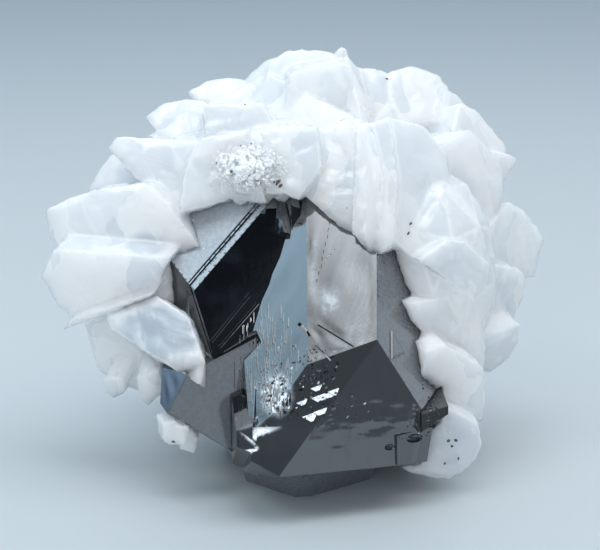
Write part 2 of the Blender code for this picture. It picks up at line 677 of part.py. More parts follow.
def build_clearance(clearance):
    """The sphalerite blocks, grown by the clearance, and what lies under the base."""
    for name, (centre, facets) in BLOCKS.items():
        add_object("clear_" + name, block(centre, facets, CLEARANCE), clearance)
    for index, (centre, facets, point, outward) in enumerate(band_blocks()):
        mesh = block(centre, facets, CLEARANCE)
        cut(mesh, (point + outward * CLEARANCE) * MM, outward)
        add_object("clear_band_%d" % index, mesh, clearance)
    for index, shape in enumerate(LEDGES):
        add_object("clear_ledge_%d" % index, ledge(*shape, grow=CLEARANCE), clearance)
    under = bmesh.new()
    bmesh.ops.create_cube(under, size=RAW_CUBE * MM,
                          matrix=Matrix.Translation((0, 0, (BASE_PLANE - RAW_CUBE / 2) * MM)))
    add_object("under_base", under, clearance)


def stand_at_origin(things):
    """Move the specimen so that its base is at z = 0, centred on the origin."""
    corners = [vert.co for thing in things for vert in thing.data.vertices]
    low = Vector([min(corner[axis] for corner in corners) for axis in range(3)])
    high = Vector([max(corner[axis] for corner in corners) for axis in range(3)])
    shift = Vector((-(low.x + high.x) / 2, -(low.y + high.y) / 2, -low.z))
    for thing in things:
        thing.data.transform(Matrix.Translation(shift))
    return shift, high - low


def main():
    clear_scene()
    specimen = make_collection("calcite_on_sphalerite")
    guides = {name: make_collection(name) for name in GUIDES}
    build_clearance(guides["clearance"])
    sphalerite = build_sphalerite(specimen, guides["blocks"], guides["breaks"])
    calcite = build_calcite(specimen, guides["crystals"], guides["clearance"])
    knob = build_knob(specimen, guides["grains"], guides["clearance"])
    for collection in guides.values():
        hide_guides(collection)
    pieces = (sphalerite, calcite, knob)
    for piece in pieces:
        finish = FINISHES[piece.name]
        piece.data.materials.append(make_material(piece.name + "_finish", *finish))
    shift, size = stand_at_origin(pieces)
    print("size mm %.1f %.1f %.1f" % tuple(length / MM for length in size))
    print("shift mm %.2f %.2f %.2f" % tuple(length / MM for length in shift))
    for piece in pieces:
        print(piece.name, len(piece.data.polygons), "triangles")
    return shift


SHIFT = main()
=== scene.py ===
"""Calcite on sphalerite: the finish of a cabinet specimen and the stage it stands on.

The sphalerite is near black with mirror-bright faces, and the calcite round it is milky and
lets light in. Both keep the sizes of their solids; this file adds the fine relief of their
faces, their finishes, the small grains on them, the floor, the lights and the camera.
"""

import math
import random
from collections import namedtuple

import bmesh
import bpy
from bpy.props import FloatProperty, FloatVectorProperty, IntProperty, PointerProperty
from mathutils import Matrix, Vector, noise
from mathutils.bvhtree import BVHTree
from mathutils.kdtree import KDTree


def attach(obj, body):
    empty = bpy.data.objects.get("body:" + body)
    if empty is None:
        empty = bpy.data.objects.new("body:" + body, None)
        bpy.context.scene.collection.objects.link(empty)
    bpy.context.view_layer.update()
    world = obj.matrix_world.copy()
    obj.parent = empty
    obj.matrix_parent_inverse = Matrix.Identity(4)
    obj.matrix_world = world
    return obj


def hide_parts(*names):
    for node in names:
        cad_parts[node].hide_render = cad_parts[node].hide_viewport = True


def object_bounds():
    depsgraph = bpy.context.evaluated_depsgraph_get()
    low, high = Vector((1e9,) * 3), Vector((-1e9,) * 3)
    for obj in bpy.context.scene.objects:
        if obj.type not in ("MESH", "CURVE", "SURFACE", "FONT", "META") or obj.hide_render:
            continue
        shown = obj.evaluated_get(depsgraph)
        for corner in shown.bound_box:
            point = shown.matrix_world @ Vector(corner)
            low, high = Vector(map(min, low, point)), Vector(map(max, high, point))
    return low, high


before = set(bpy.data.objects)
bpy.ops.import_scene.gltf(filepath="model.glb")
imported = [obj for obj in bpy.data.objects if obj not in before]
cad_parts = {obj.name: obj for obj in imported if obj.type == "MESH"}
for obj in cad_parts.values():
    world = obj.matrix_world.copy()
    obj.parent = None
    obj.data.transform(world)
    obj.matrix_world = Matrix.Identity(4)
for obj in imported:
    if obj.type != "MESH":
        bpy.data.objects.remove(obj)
CAD_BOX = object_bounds()

bl_info = {
    "name": "Calcite on sphalerite",
    "version": (1, 0, 0),
    "blender": (4, 5, 0),
    "location": "View3D > Sidebar > Specimen",
    "description": "Finishes, fine relief and stage of a calcite on sphalerite specimen",
    "category": "Object",
}

MM = 0.001
# Places below are in millimetres from the point the crystals were laid out round; this is
# where that point stands in the row's frame
LAYOUT_ORIGIN = Vector((-1.48, 0.14, 0.0))
# A place seen from in front is given in millimetres to the right of the middle and above this
# height, as it looks from this many degrees up
FRONT_HEIGHT = 33.2
FRONT_RISE = 14.0
# How far out from its middle a place seen from in front, or a zone, is at full strength
SPOT_CORE = 0.3
ZONE_CORE = 0.55

# Sphalerite faces: the way each looks (azimuth, elevation), how frosted it is, a share that also
# paints a grey in place of what the face mirrors, then each layer of relief on it as wavelength
# across and along, height, and lean of its grain from upright
Face = namedtuple("Face", "facing frost relief")
FACES = {
    "front_triangle": Face((20, 7), 0.05, ((9.0, 3.0, 0.020, 0), (3.5, 1.0, 0.012, 0),
                                           (2.4, 0.5, 0.003, -8))),
    "glinting_slope": Face((-7.5, 27), 0.0, ((2.4, 1.6, 0.030, 25), (0.9, 0.9, 0.008, 0))),
    "silver_face": Face((-16.5, 43), 0.0, ((2.4, 18.0, 0.016, 0), (5.5, 7.0, 0.070, 12),
                                           (0.7, 7.0, 0.0020, -6))),
    "right_side": Face((59, 25.5), 0.22, ((3.0, 8.0, 0.030, 0), (0.8, 5.0, 0.006, 0))),
    "blue_face": Face((-36, 38.2), 0.0, ((4.0, 9.0, 0.040, 0), (0.8, 5.0, 0.003, 0))),
    "black_face": Face((5, 35), 0.0, ((3.0, 12.0, 0.004, 0),)),
    "grey_slope": Face((-27.5, 49), 1.0, ((8.0, 8.0, 0.060, 0), (1.5, 3.0, 0.004, 30))),
    "lower_front": Face((10, 3), 0.18, ((1.8, 12.0, 0.010, 0), (6.0, 1.4, 0.016, 0))),
    "striped_side": Face((-46, 25), 0.0, ((1.3, 14.0, 0.030, 40),)),
}
FACE_MATCH = 0.997             # how closely a face must look that way, as a cosine
OTHER_RELIEF = ((2.0, 4.0, 0.040, 0),)
LUMP = ((3, -20, 3), (20, 18, 9))   # centre and half-sizes of the dark lump
# frosting of the dark lump, which is also a painted reflection that lightens it
LUMP_FROST_AND_REFLECTION = 0.35
SPHALERITE_DEPTH = 6           # how far back the sphalerite is finely divided
SPHALERITE_SHARP = 3.0         # angle in degrees from which an edge of it counts as sharp
RELIEF_FADE = (0.0001, 0.0015)      # distances from a sharp edge over which relief sets in

# Shell-shaped ripples on the silver face: the middle of their rings, the nearest and furthest
# ring, how soon they fade at each, their spacing and height, how far right of the middle they
# set in, and how far the rings wander, in ripples, over how many metres
RIPPLE_CENTRE = (4.5, -22.5, 36.5)
RIPPLE_RINGS = (3.5, 12.0)
RIPPLE_FADES = (2, 3)
RIPPLE_SPACING = 0.8
RIPPLE_HEIGHT = 0.003
RIPPLE_ONSET = (1.0, 4.5)
RIPPLE_WANDER = (2.5, 0.007)

# Rough zones of the sphalerite: centre, half-sizes, then the steps in them: wavelength
# across and along, height
ROUGH_ZONES = (
    ((2.5, -35.5, 19.5), (6.0, 4.0, 5.0), (1.3, 0.7, 0.05)),
    ((22.0, -31.0, 16.0), (2.5, 3.0, 6.0), (0.7, 0.6, 0.14)),
)
ROUGH_STEP = 0.17              # longest edge of the finely divided faces in a rough zone

# Patches of hair-thin upright ridges: middle and half-sizes as they are seen from in front, how
# many, and their shortest and longest length
RIDGE_PATCHES = (
    ((-4.0, -15.5), (5.2, 9.5), 230, (0.5, 2.6)),
    ((-2.6, -21.0), (2.4, 3.4), 90, (0.5, 1.6)),
    ((-8.2, -21.5), (1.6, 6.5), 18, (2.0, 6.0)),
    ((4.0, -17.0), (3.0, 6.5), 40, (0.4, 1.4)),
)
PATCH_RIDGE_WIDTHS = (0.06, 0.13)   # half the width of the narrowest and of the widest
PATCH_RIDGE_SLOPE = 0.27
# Patches of small broken flakes, seen the same way: middle and half-sizes, how many, largest
# radius, and how far they turn from the way most of them look
FLAKES_FACING = (-26, 31)
FLAKE_PATCHES = (
    ((-2.6, -20.6), (2.6, 3.6), 40, 0.50, 4),
    ((-1.4, -18.0), (5.0, 6.5), 70, 0.30, 26),
    ((4.2, -16.5), (3.4, 4.5), 60, 0.45, 22),
    ((6.2, -22.3), (7.5, 2.6), 34, 0.40, 24),
    ((23.0, -21.0), (2.2, 5.0), 45, 0.32, 35),
    ((21.5, -26.0), (4.5, 3.0), 36, 0.28, 35),
)
FLAKE_CORNERS = 5
FLAKE_RISE = 0.06              # how far a flake stands out, as a share of its radius
FLAKE_FLARE = 1.1              # how much wider it is at its foot

# Fine ridges: the way their facet faces, start, end, half their width and the slope of their
# flanks; both ends are laid on the face under them
RIDGES = (
    ((5, 35), (-14.0, -24.7, 27.0), (-7.2, -19.0, 34.2), 0.20, 0.27),
    ((5, 35), (-13.6, -24.9, 26.7), (-6.9, -19.3, 33.8), 0.13, 0.27),
    ((5, 35), (-12.5, -25.1, 26.3), (-5.8, -19.7, 33.0), 0.18, 0.27),
    ((5, 35), (-12.1, -25.2, 26.0), (-5.4, -20.0, 32.6), 0.12, 0.27),
    ((5, 35), (-8.8, -23.6, 27.9), (-8.8, -25.1, 25.7), 0.10, 0.55),
    ((5, 35), (-8.1, -22.5, 29.4), (-8.1, -25.3, 25.4), 0.12, 0.55),
    ((5, 35), (-7.5, -22.9, 28.6), (-7.5, -25.0, 25.7), 0.08, 0.55),
    ((5, 35), (-2.8, -9.6, 47.1), (-1.6, -12.3, 43.2), 0.08, 0.36),
    ((-7.5, 27), (-6.4, -33.0, 22.3), (-6.4, -35.9, 16.8), 0.16, 0.36),
    ((-7.5, 27), (-5.7, -32.6, 22.9), (-5.7, -34.4, 19.4), 0.09, 0.36),
)
RIDGE_TAPER = 4                # length of their tapering ends, in half widths
RIDGE_SINK = 0.1               # how far their feet are sunk, in half widths
ONE_FACE = 0.96                # how alike two ends look where one flat face lies under a ridge
RIDGE_SAG = 0.12               # most that the face may bend away between them
# Dotted cracks on the silver face, as they are seen from in front: start, end, dashes
DOTTED_CRACKS = (
    ((6.6, 8.6), (4.1, -2.5), 9),
    ((7.3, 3.8), (4.3, 0.0), 5),
)
CRACK_SHIFT = 0.12             # how far a dash may stand to one side
CRACK_DASH = 0.6               # length of a dash as a share of their spacing
CRACK_RIDGE = (0.07, 0.8)      # half width and slope of a dash
# Seen the same way: the patch of painted glare among the broken flakes, and where the small faces
# that look up get painted highlight too
GLARE = ((-2.6, -20.4), (3.4, 4.4))
PAINTED_HIGHLIGHT_PATCHES = (((6.0, -22.3), (8.5, 6.5)), ((-4.8, -28.4), (5.5, 4.0)))
PAINTED_GLARE = 2.0                   # painted glare counts as this much frost
PAINTED_GLARE_MOTTLE = (0.8, 0.0011, 0.0005, 0.5)
LOOKS_UP = 0.35                # upward part of a normal from which a face looks up and gets painted highlight

# Calcite: the ways its cleavage faces look, and how round its small growth faces are, per metre
CLEAVAGES = tuple(Vector(way).normalized() for way in (
    (-0.4, -0.8, 0.45), (0.55, -0.7, 0.35), (0.1, -0.35, 0.95), (-0.9, -0.2, 0.3),
    (0.9, 0.1, 0.4), (-0.5, 0.7, 0.5), (0.5, 0.8, 0.3), (0.1, -0.8, -0.6)))
GROWTH_BULGE = 12.0
GROWTH_FACES_NEAR = 5          # how many of them vie for the outermost place at a point
GROWTH_HEIGHTS = (-0.00030, 0.00005)    # lowest and highest of their middles
GROWTH_FADE = (0.0002, 0.0016)      # distances from a sharp edge over which they set in
CALCITE_DEPTHS = (12, 0)       # how far back its grid is fine, and its ridges are finest
CALCITE_GRIDS = (4, 1.8, 1, 0.7)    # longest edges: first cut, back, front and ridges
CALCITE_SHARP = 12.0
VALLEY_WIDTH = 0.0007          # how far from a valley its flanks are rounded
RIDGE_WIDTH = 0.0005           # how far from a ridge its grid is finest
CALCITE_RIPPLE = (0.0018, 0.00004)  # wavelength and height
# Scallops along its edges: mottling, depth, and how far in they reach
SCALLOP_MOTTLE = (0.5, 0.0012, 0.0006, 0.7)
SCALLOP_DEPTH = 0.00026
SCALLOP_REACH = 0.0011
# Where the calcite is clearer: how clear, centre and half-sizes
CLEAR_ZONES = (
    (0.6, (26, -25, 9), (10, 9, 9)),        # clear lobe
    (0.7, (-25, -13, 40), (5, 5, 4)),       # window in the left wing
    (0.35, (31, -8, 50), (6, 6, 8)),
    (0.35, (22, -20, 33), (7, 6, 9)),
    # partly clearer, partly painted shade: its window colour darkens the thin plate low at the left
    # as the shadow under it would
    (1.0, (-22, -22, 28), (12, 7, 7)),
)
CLEAR_FACES = (0.34, (0.12, 0.24))  # how clear a clearer face is, and the tint that makes it so
TINT_PER_TURN = 4.0            # how fast the tint changes with the way a face looks
TINT_SIZE = 0.02               # over how many metres it changes with place
SUGAR_ZONE = ((-6.2, -8, 52), (9, 7, 6.5))

# Grains, as places seen from in front: right, up, radius, and width as a share of length
DARK_GRAINS = (
    (-9.8, 16.6, 0.75, 0.8), (-10.4, 17.0, 0.45, 0.7), (-9.4, 17.3, 0.35, 0.8),
    (-2.5, 15.0, 0.80, 0.6), (-2.0, 14.6, 0.45, 0.8), (-3.1, 15.3, 0.35, 0.8),
    (-5.9, 15.4, 0.40, 0.3), (-5.4, 15.0, 0.35, 0.3), (-8.9, 21.6, 0.28, 0.6),
    (-7.1, 22.0, 0.32, 0.6), (-13.0, 18.6, 0.25, 0.8), (-3.6, 18.9, 0.28, 0.8),
    (-8.2, 29.1, 0.22, 0.8), (17.0, 34.5, 0.35, 0.5), (28.2, 24.8, 0.22, 0.8),
    (20.2, 8.0, 0.45, 0.4), (19.8, 6.3, 0.55, 0.4), (9.3, 10.7, 0.22, 0.7),
    (26.6, -28.9, 0.45, 0.7), (27.9, -28.8, 0.40, 0.8), (27.3, -29.8, 0.35, 0.8),
    (28.4, -32.1, 0.40, 0.6), (26.1, -32.9, 0.30, 0.8), (-20.0, -28.8, 0.40, 0.7),
)
WHITE_GRAINS = (
    (-17.3, 8.8, 0.35, 0.8), (-18.8, 7.7, 0.30, 0.8), (-16.4, 10.4, 0.18, 0.8),
    (-15.2, 3.9, 0.16, 0.8), (14.3, 3.0, 0.22, 0.8), (27.0, -27.4, 0.30, 0.8),
    (22.0, -35.2, 0.60, 0.6), (25.1, -36.0, 0.45, 0.8),
)
SUGAR_PATCH = ((-7.6, 18.2), (7.2, 4.8))    # middle and half-sizes, seen the same way
SUGAR_RADII = (0.2, 0.6)       # as shares of the sugar size
SUGAR_MIDDLE = 1.3             # times that in the middle of the patch, and 1 less at its rim
CROWDING = 0.6                 # above 0.5, what is drawn at random crowds in a patch's middle
GRAIN_SINK = 0.25              # how deep a grain is set, as a share of its radius
GRAIN_HEIGHTS = (0.5, 0.9)     # heights of the grains, as shares of their length
GRAIN_UNEVENNESS = 0.25        # how far a corner may move, as a share of the radius

# Painted reflection on the silver face, in bright patches seen the same way: middle, half-sizes and
# strength
PAINTED_REFLECTION_PATCHES = (
    ((6.3, -5.0), (2.6, 3.6), 0.9),
    ((3.5, 0.5), (1.4, 9.0), 0.35),
    ((11.0, -13.0), (4.0, 7.0), 0.40),
    ((6.0, -16.0), (5.0, 4.0), 0.45),
)
PAINTED_REFLECTION_MOTTLE = (0.0, 0.0016, 0.0006, 0.5)
PAINTED_REFLECTION_CLOUDS = (0.35, 0.65)     # painted reflection outside the clouds of a patch, and what a cloud adds
PAINTED_REFLECTION_STREAKS = (0.7, 9.0, -6, 31)   # wavelengths, lean and seed of the streaks
PAINTED_REFLECTION_WANDER = (1.2, 0.006)     # how far the arcs wander, in millimetres, over how many metres
PAINTED_REFLECTION_ARCS = (7.5, 11.0)        # how far to the right the arcs round the ripples' middle set in
PAINTED_REFLECTION_SHARES = (0.10, 0.07, 0.05)    # what streaks and arcs add, and the painted reflection everywhere

# Grain of each finish: turn in degrees, stretch, scale, detail, and the mask's low and high
GRAINS = {
    "striae": ((0, 0, 0), (1.0, 1.0, 8.0), 900.0, 4.0, 0.50, 0.70),
    "cloud": ((0, 0, 30), (1.0, 1.0, 1.0), 160.0, 3.0, 0.45, 0.70),
    "frost_and_reflection_mottle": ((10, 0, 0), (1.0, 1.0, 1.0), 1500.0, 2.0, 0.35, 0.65),
    # the next grain breaks up the painted glare
    "painted_glare": ((0, 0, 0), (1.0, 1.0, 4.0), 2200.0, 3.0, 0.30, 0.55),
    "veil": ((20, 30, 10), (1.0, 1.0, 2.5), 110.0, 4.0, 0.40, 0.62),
    "wisp": ((60, -20, 40), (1.0, 4.0, 1.0), 420.0, 5.0, 0.55, 0.75),
    "silk": ((0, 12, 8), (5.0, 5.0, 0.5), 700.0, 3.0, 0.45, 0.65),
    "sugar": ((0, 0, 0), (1.0, 1.0, 1.0), 2600.0, 3.0, 0.45, 0.65),
    "fleck": ((0, 0, 0), (1.0, 1.0, 1.0), 2600.0, 3.0, 0.40, 0.70),
}
CALCITE_REFRACTION = 1.58
SCATTER_REACH = (0.97, 0.99, 1.0)   # how far red, green and blue light spread in the calcite
PAINTED_EDGE_HIGHLIGHT = (0.0007, 0.7)      # painted highlight: how far in the calcite's pale edges reach, and how pale they are

# Cards and lights point at this place
CARD_TARGET = (0, -10, 30)
# Softboxes: azimuth and elevation, distance, width and height in metres, share of the key
# strength, colour, and brightness at the rim as a share of that in the middle
SOFTBOXES = (
    ("broad_softbox", (-33, 80), 0.9, (0.80, 0.80), 1.0, (0.88, 0.95, 1.0), 0.0),
    ("left_softbox", (-96, 46), 0.85, (0.56, 0.76), 0.45, (0.55, 0.80, 1.0), 0.12),
    ("side_card", (-94, 21), 0.85, (0.36, 0.32), 0.4, (0.45, 0.68, 1.0), 0.0),
    ("glint_card", (-52, 48), 0.85, (0.40, 0.40), 1.3, (0.90, 0.96, 1.0), 0.12),
)
# Fill lights: azimuth and elevation, distance and size in metres, share of the fill power
FILLS = (
    ("front_fill", (-5, 16), 1.2, 1.0, 1.8),
    ("right_fill", (75, 60), 1.0, 0.8, 1.0),
)
FILL_COLOUR = (0.92, 0.96, 1.0)
# Dark card: azimuth and elevation, distance, width and height in metres, and the place on the
# floor that it is set out from
DARK_CARD = ((25, 0), 0.17, (0.8, 0.25), (20, -34, 0))
DARK_CARD_GLOW = 0.22
# Surroundings: colours in front of the specimen and behind it, and where one turns into the other
SURROUNDINGS = ((0.03, 0.034, 0.042), (0.70, 0.80, 0.90))
SURROUNDINGS_TURN = (-0.35, 0.45)
PAINTED_FLOOR_FALLOFF = (0.12, 0.75)      # painted light falloff: distances over which the floor darkens to its far colour
# Camera: sensor width and focal length in millimetres, and shift of its frame
SENSOR_WIDTH = 36.0
FOCAL_LENGTH = 134.4
FRAME_SHIFT = (0.0133, -0.0067)


def direction(azimuth, elevation):
    """Unit vector for an azimuth from the front, turning right, and an elevation."""
    turn, rise = math.radians(azimuth), math.radians(elevation)
    flat = math.cos(rise)
    return Vector((math.sin(turn) * flat, -math.cos(turn) * flat, math.sin(rise)))


def place(x, y, z):
    """A point given in layout millimetres, in the row's frame."""
    return (Vector((x, y, z)) + LAYOUT_ORIGIN) * MM


def seen_at(point):
    """Where a point is seen from in front: millimetres to the right and up."""
    off = point / MM - LAYOUT_ORIGIN - Vector((0, 0, FRONT_HEIGHT))
    lean = math.radians(FRONT_RISE)
    return off.x, off.y * math.sin(lean) + off.z * math.cos(lean)


def seen_share(point, middle, sizes):
    """1 in the middle of an ellipse as it is seen from in front, 0 from its rim outwards."""
    reach = math.hypot(*((part - centre) / size for part, centre, size
                         in zip(seen_at(point), middle, sizes)))
    return 1.0 - smoothstep(reach, SPOT_CORE, 1.0)


def zone_share(point, centre, radii):
    """1 in the middle of an ellipsoid, 0 from its surface outwards."""
    off = point / MM - LAYOUT_ORIGIN - Vector(centre)
    reach = math.sqrt(sum((part / radius) ** 2 for part, radius in zip(off, radii)))
    return 1.0 - smoothstep(reach, ZONE_CORE, 1.0)


def sight_line(across, rise):
    """Start and way of the line of sight that meets this place as it is seen from in front."""
    lean = math.radians(FRONT_RISE)
    out = direction(0.0, FRONT_RISE)
    up = Vector((0, math.sin(lean), math.cos(lean)))
    return place(across, 0, FRONT_HEIGHT) + (up * rise + out * 80) * MM, -out


def spot_in(middle, sizes, rng):
    """A random spot in an ellipse, and how far out it is: 0 in the middle, 1 at the rim."""
    turn, reach = rng.uniform(0, 2 * math.pi), rng.random() ** CROWDING
    return (middle[0] + sizes[0] * reach * math.cos(turn),
            middle[1] + sizes[1] * reach * math.sin(turn)), reach


def smoothstep(value, low, high):
    """0 up to the low value, 1 from the high one, and a smooth rise between them."""
    share = min(1.0, max(0.0, (value - low) / (high - low)))
    return share * share * (3 - 2 * share)


def mottled(point, level, coarse, fine, fine_share):
    """A level with noise of two sizes, in metres, on it."""
    return level + noise.noise(point / coarse) + fine_share * noise.noise(point / fine)


# ---------------------------------------------------------------- meshes

def copy_of_node(name):
    """An editable copy of a solid's mesh with its corners joined."""
    mesh = bmesh.new()
    mesh.from_mesh(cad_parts[name].data)
    bmesh.ops.remove_doubles(mesh, verts=mesh.verts[:], dist=1e-6)
    return mesh


def refine(mesh, longest, wanted, rounds=8):
    """Split the wanted edges that are longer than this, again and again."""
    for _ in range(rounds):
        long_edges = [edge for edge in mesh.edges
                      if edge.calc_length() > longest and wanted(edge)]
        if not long_edges:
            return
        bmesh.ops.subdivide_edges(mesh, edges=long_edges, cuts=1)
        many_sided = [face for face in mesh.faces if len(face.verts) > 3]
        bmesh.ops.triangulate(mesh, faces=many_sided, quad_method="SHORT_EDGE",
                              ngon_method="BEAUTY")


def sharp_edges(mesh, angle):
    limit = math.radians(angle)
    return [edge for edge in mesh.edges
            if len(edge.link_faces) == 2 and edge.calc_face_angle(0.0) > limit]


def even_out(mesh, wanted):
    """Flip edges inside flat facets so that their triangles are even."""
    flat = [edge for edge in mesh.edges
            if len(edge.link_faces) == 2 and edge.calc_face_angle(0.0) < math.radians(0.5)
            and wanted(edge)]
    beside = dict.fromkeys(face for edge in flat for face in edge.link_faces)
    bmesh.ops.beautify_fill(mesh, faces=list(beside), edges=flat)


def relax(mesh, verts, factor):
    """Move vertices this share of the way to the middle of their neighbours."""
    bmesh.ops.smooth_vert(mesh, verts=verts, factor=factor, use_axis_x=True,
                          use_axis_y=True, use_axis_z=True)


def distance_to(edges, spacing=0.0005):
    """A function that gives the distance from a point to the nearest of these edges."""
    points = []
    for edge in edges:
        start, end = (vert.co for vert in edge.verts)
        count = max(1, int((end - start).length / spacing))
        points += [start.lerp(end, (step + 0.5) / count) for step in range(count)]
        points += [start.copy(), end.copy()]
    tree = KDTree(len(points))
    for index, point in enumerate(points):
        tree.insert(point, index)
    tree.balance()
    return lambda point: tree.find(point)[2]


def new_piece(name, mesh, material):
    data = bpy.data.meshes.new(name)
    mesh.to_mesh(data)
    mesh.free()
    data.materials.append(material)
    piece = bpy.data.objects.new(name, data)
    bpy.context.scene.collection.objects.link(piece)
    return piece


# ---------------------------------------------------------------- materials

class Nodes:
    """A material's node tree, with short ways to add to it."""

    def __init__(self, tree):
        self.tree = tree

    def add(self, kind, **settings):
        node = self.tree.nodes.new(kind)
        for name, value in settings.items():
            setattr(node, name, value)
        return node

    def link(self, output, socket):
        self.tree.links.new(output, socket)

    def value(self, kind, sockets, **settings):
        """Add a node and fill its sockets: a number or tuple is set, an output is linked."""
        node = self.add(kind, **settings)
        for name, value in sockets.items():
            if isinstance(value, bpy.types.NodeSocket):
                self.link(value, node.inputs[name])
            else:
                node.inputs[name].default_value = value
        return node

    def math(self, operation, first, second):
        node = self.value("ShaderNodeMath", {0: first, 1: second}, operation=operation)
        return node.outputs[0]

    def mix(self, share, first, second):
        """Mix two colours, each an output or a triple, by a share that is an output."""
        node = self.add("ShaderNodeMix", data_type="RGBA")
        self.link(share, node.inputs[0])
        for socket, colour in ((node.inputs[6], first), (node.inputs[7], second)):
            if isinstance(colour, bpy.types.NodeSocket):
                self.link(colour, socket)
            else:
                socket.default_value = (*colour, 1.0)
        return node.outputs[2]

    def attribute(self, name):
        return self.value("ShaderNodeAttribute", {}, attribute_name=name,
                          attribute_type="GEOMETRY").outputs["Fac"]

    def spread(self, value, low, high, to_low=0.0, to_high=1.0):
        """A smooth rise from one value to another between a low and a high input."""
        node = self.value("ShaderNodeMapRange", {
            "Value": value, "From Min": low, "From Max": high,
            "To Min": to_low, "To Max": to_high}, interpolation_type="SMOOTHSTEP")
        return node.outputs[0]

    def bump(self, shader, height, strength, distance):
        node = self.value("ShaderNodeBump", {
            "Strength": strength, "Distance": distance, "Height": height})
        self.link(node.outputs[0], shader.inputs["Normal"])


def new_material(name):
    material = bpy.data.materials.new(name)
    material.use_nodes = True
    nodes = Nodes(material.node_tree)
    shader = material.node_tree.nodes["Principled BSDF"]
    return material, nodes, shader


def group_nodes(name, inputs, outputs):
    """A shader node group with named sockets: name, kind and default."""
    tree = bpy.data.node_groups.new(name, "ShaderNodeTree")
    for label, kind, default in inputs:
        socket = tree.interface.new_socket(label, in_out="INPUT", socket_type=kind)
        socket.default_value = default
    for label, kind in outputs:
        tree.interface.new_socket(label, in_out="OUTPUT", socket_type=kind)
    nodes = Nodes(tree)
    return tree, nodes, nodes.add("NodeGroupInput"), nodes.add("NodeGroupOutput")


def stretched_grain_group():
    """Noise drawn out along one direction: height and a mask of its crests."""
    tree, nodes, given, made = group_nodes(
        "Stretched grain",
        (("Turn", "NodeSocketVector", (0, 0, 0)), ("Stretch", "NodeSocketVector", (1, 1, 1)),
         ("Scale", "NodeSocketFloat", 500.0), ("Detail", "NodeSocketFloat", 3.0),
         ("Low", "NodeSocketFloat", 0.45), ("High", "NodeSocketFloat", 0.65)),
        (("Height", "NodeSocketFloat"), ("Mask", "NodeSocketFloat")))
    where = nodes.add("ShaderNodeTexCoord").outputs["Object"]
    laid = nodes.value("ShaderNodeMapping", {
        "Vector": where, "Rotation": given.outputs["Turn"],
        "Scale": given.outputs["Stretch"]}, vector_type="TEXTURE")
    grain = nodes.value("ShaderNodeTexNoise", {
        "Vector": laid.outputs[0], "Scale": given.outputs["Scale"],
        "Detail": given.outputs["Detail"]})
    mask = nodes.value("ShaderNodeMapRange", {
        "Value": grain.outputs["Fac"], "From Min": given.outputs["Low"],
        "From Max": given.outputs["High"]}, interpolation_type="SMOOTHSTEP")
    nodes.link(grain.outputs["Fac"], made.inputs["Height"])
    nodes.link(mask.outputs[0], made.inputs["Mask"])
    return tree


def stretched_grain(nodes, name):
    """The outputs, Height and Mask, of one of the grains in the table."""
    tree = bpy.data.node_groups.get("Stretched grain") or stretched_grain_group()
    node = nodes.add("ShaderNodeGroup", node_tree=tree)
    turn, *values = GRAINS[name]
    node.inputs["Turn"].default_value = tuple(math.radians(angle) for angle in turn)
    for label, value in zip(("Stretch", "Scale", "Detail", "Low", "High"), values):
        node.inputs[label].default_value = value
    return node.outputs


def crystal_windows_group():
    """Cells with bent walls, each of one shade, and a mask of the clearer ones."""
    tree, nodes, given, made = group_nodes(
        "Crystal windows",
        (("Turn", "NodeSocketVector", (0, 0, 0)), ("Stretch", "NodeSocketVector", (1, 1, 1)),
         ("Scale", "NodeSocketFloat", 100.0), ("Bend", "NodeSocketFloat", 0.0),
         ("Low", "NodeSocketFloat", 0.5), ("Strength", "NodeSocketFloat", 1.0)),
        (("Mask", "NodeSocketFloat"),))
    where = nodes.add("ShaderNodeTexCoord").outputs["Object"]
    laid = nodes.value("ShaderNodeMapping", {
        "Vector": where, "Rotation": given.outputs["Turn"], "Scale": given.outputs["Stretch"]})
    warp = nodes.value("ShaderNodeTexNoise", {
        "Vector": where, "Scale": given.outputs["Scale"], "Detail": 2.0})
    bent = nodes.value("ShaderNodeMix", {
        0: given.outputs["Bend"], 4: laid.outputs[0], 5: warp.outputs["Color"]},
        data_type="VECTOR")
    cells = nodes.value("ShaderNodeTexVoronoi", {
        "Vector": bent.outputs[1], "Scale": given.outputs["Scale"]})
    shade = nodes.value("ShaderNodeSeparateColor", {"Color": cells.outputs["Color"]})
    nodes.link(nodes.spread(shade.outputs[0], given.outputs["Low"], 1.0, 0.0,
                            given.outputs["Strength"]), made.inputs["Mask"])
    return tree


def crystal_windows(nodes, **values):
    """The mask of clearer cells, made with these values; their turn is in radians."""
    tree = bpy.data.node_groups.get("Crystal windows") or crystal_windows_group()
    return nodes.value("ShaderNodeGroup", values, node_tree=tree).outputs["Mask"]


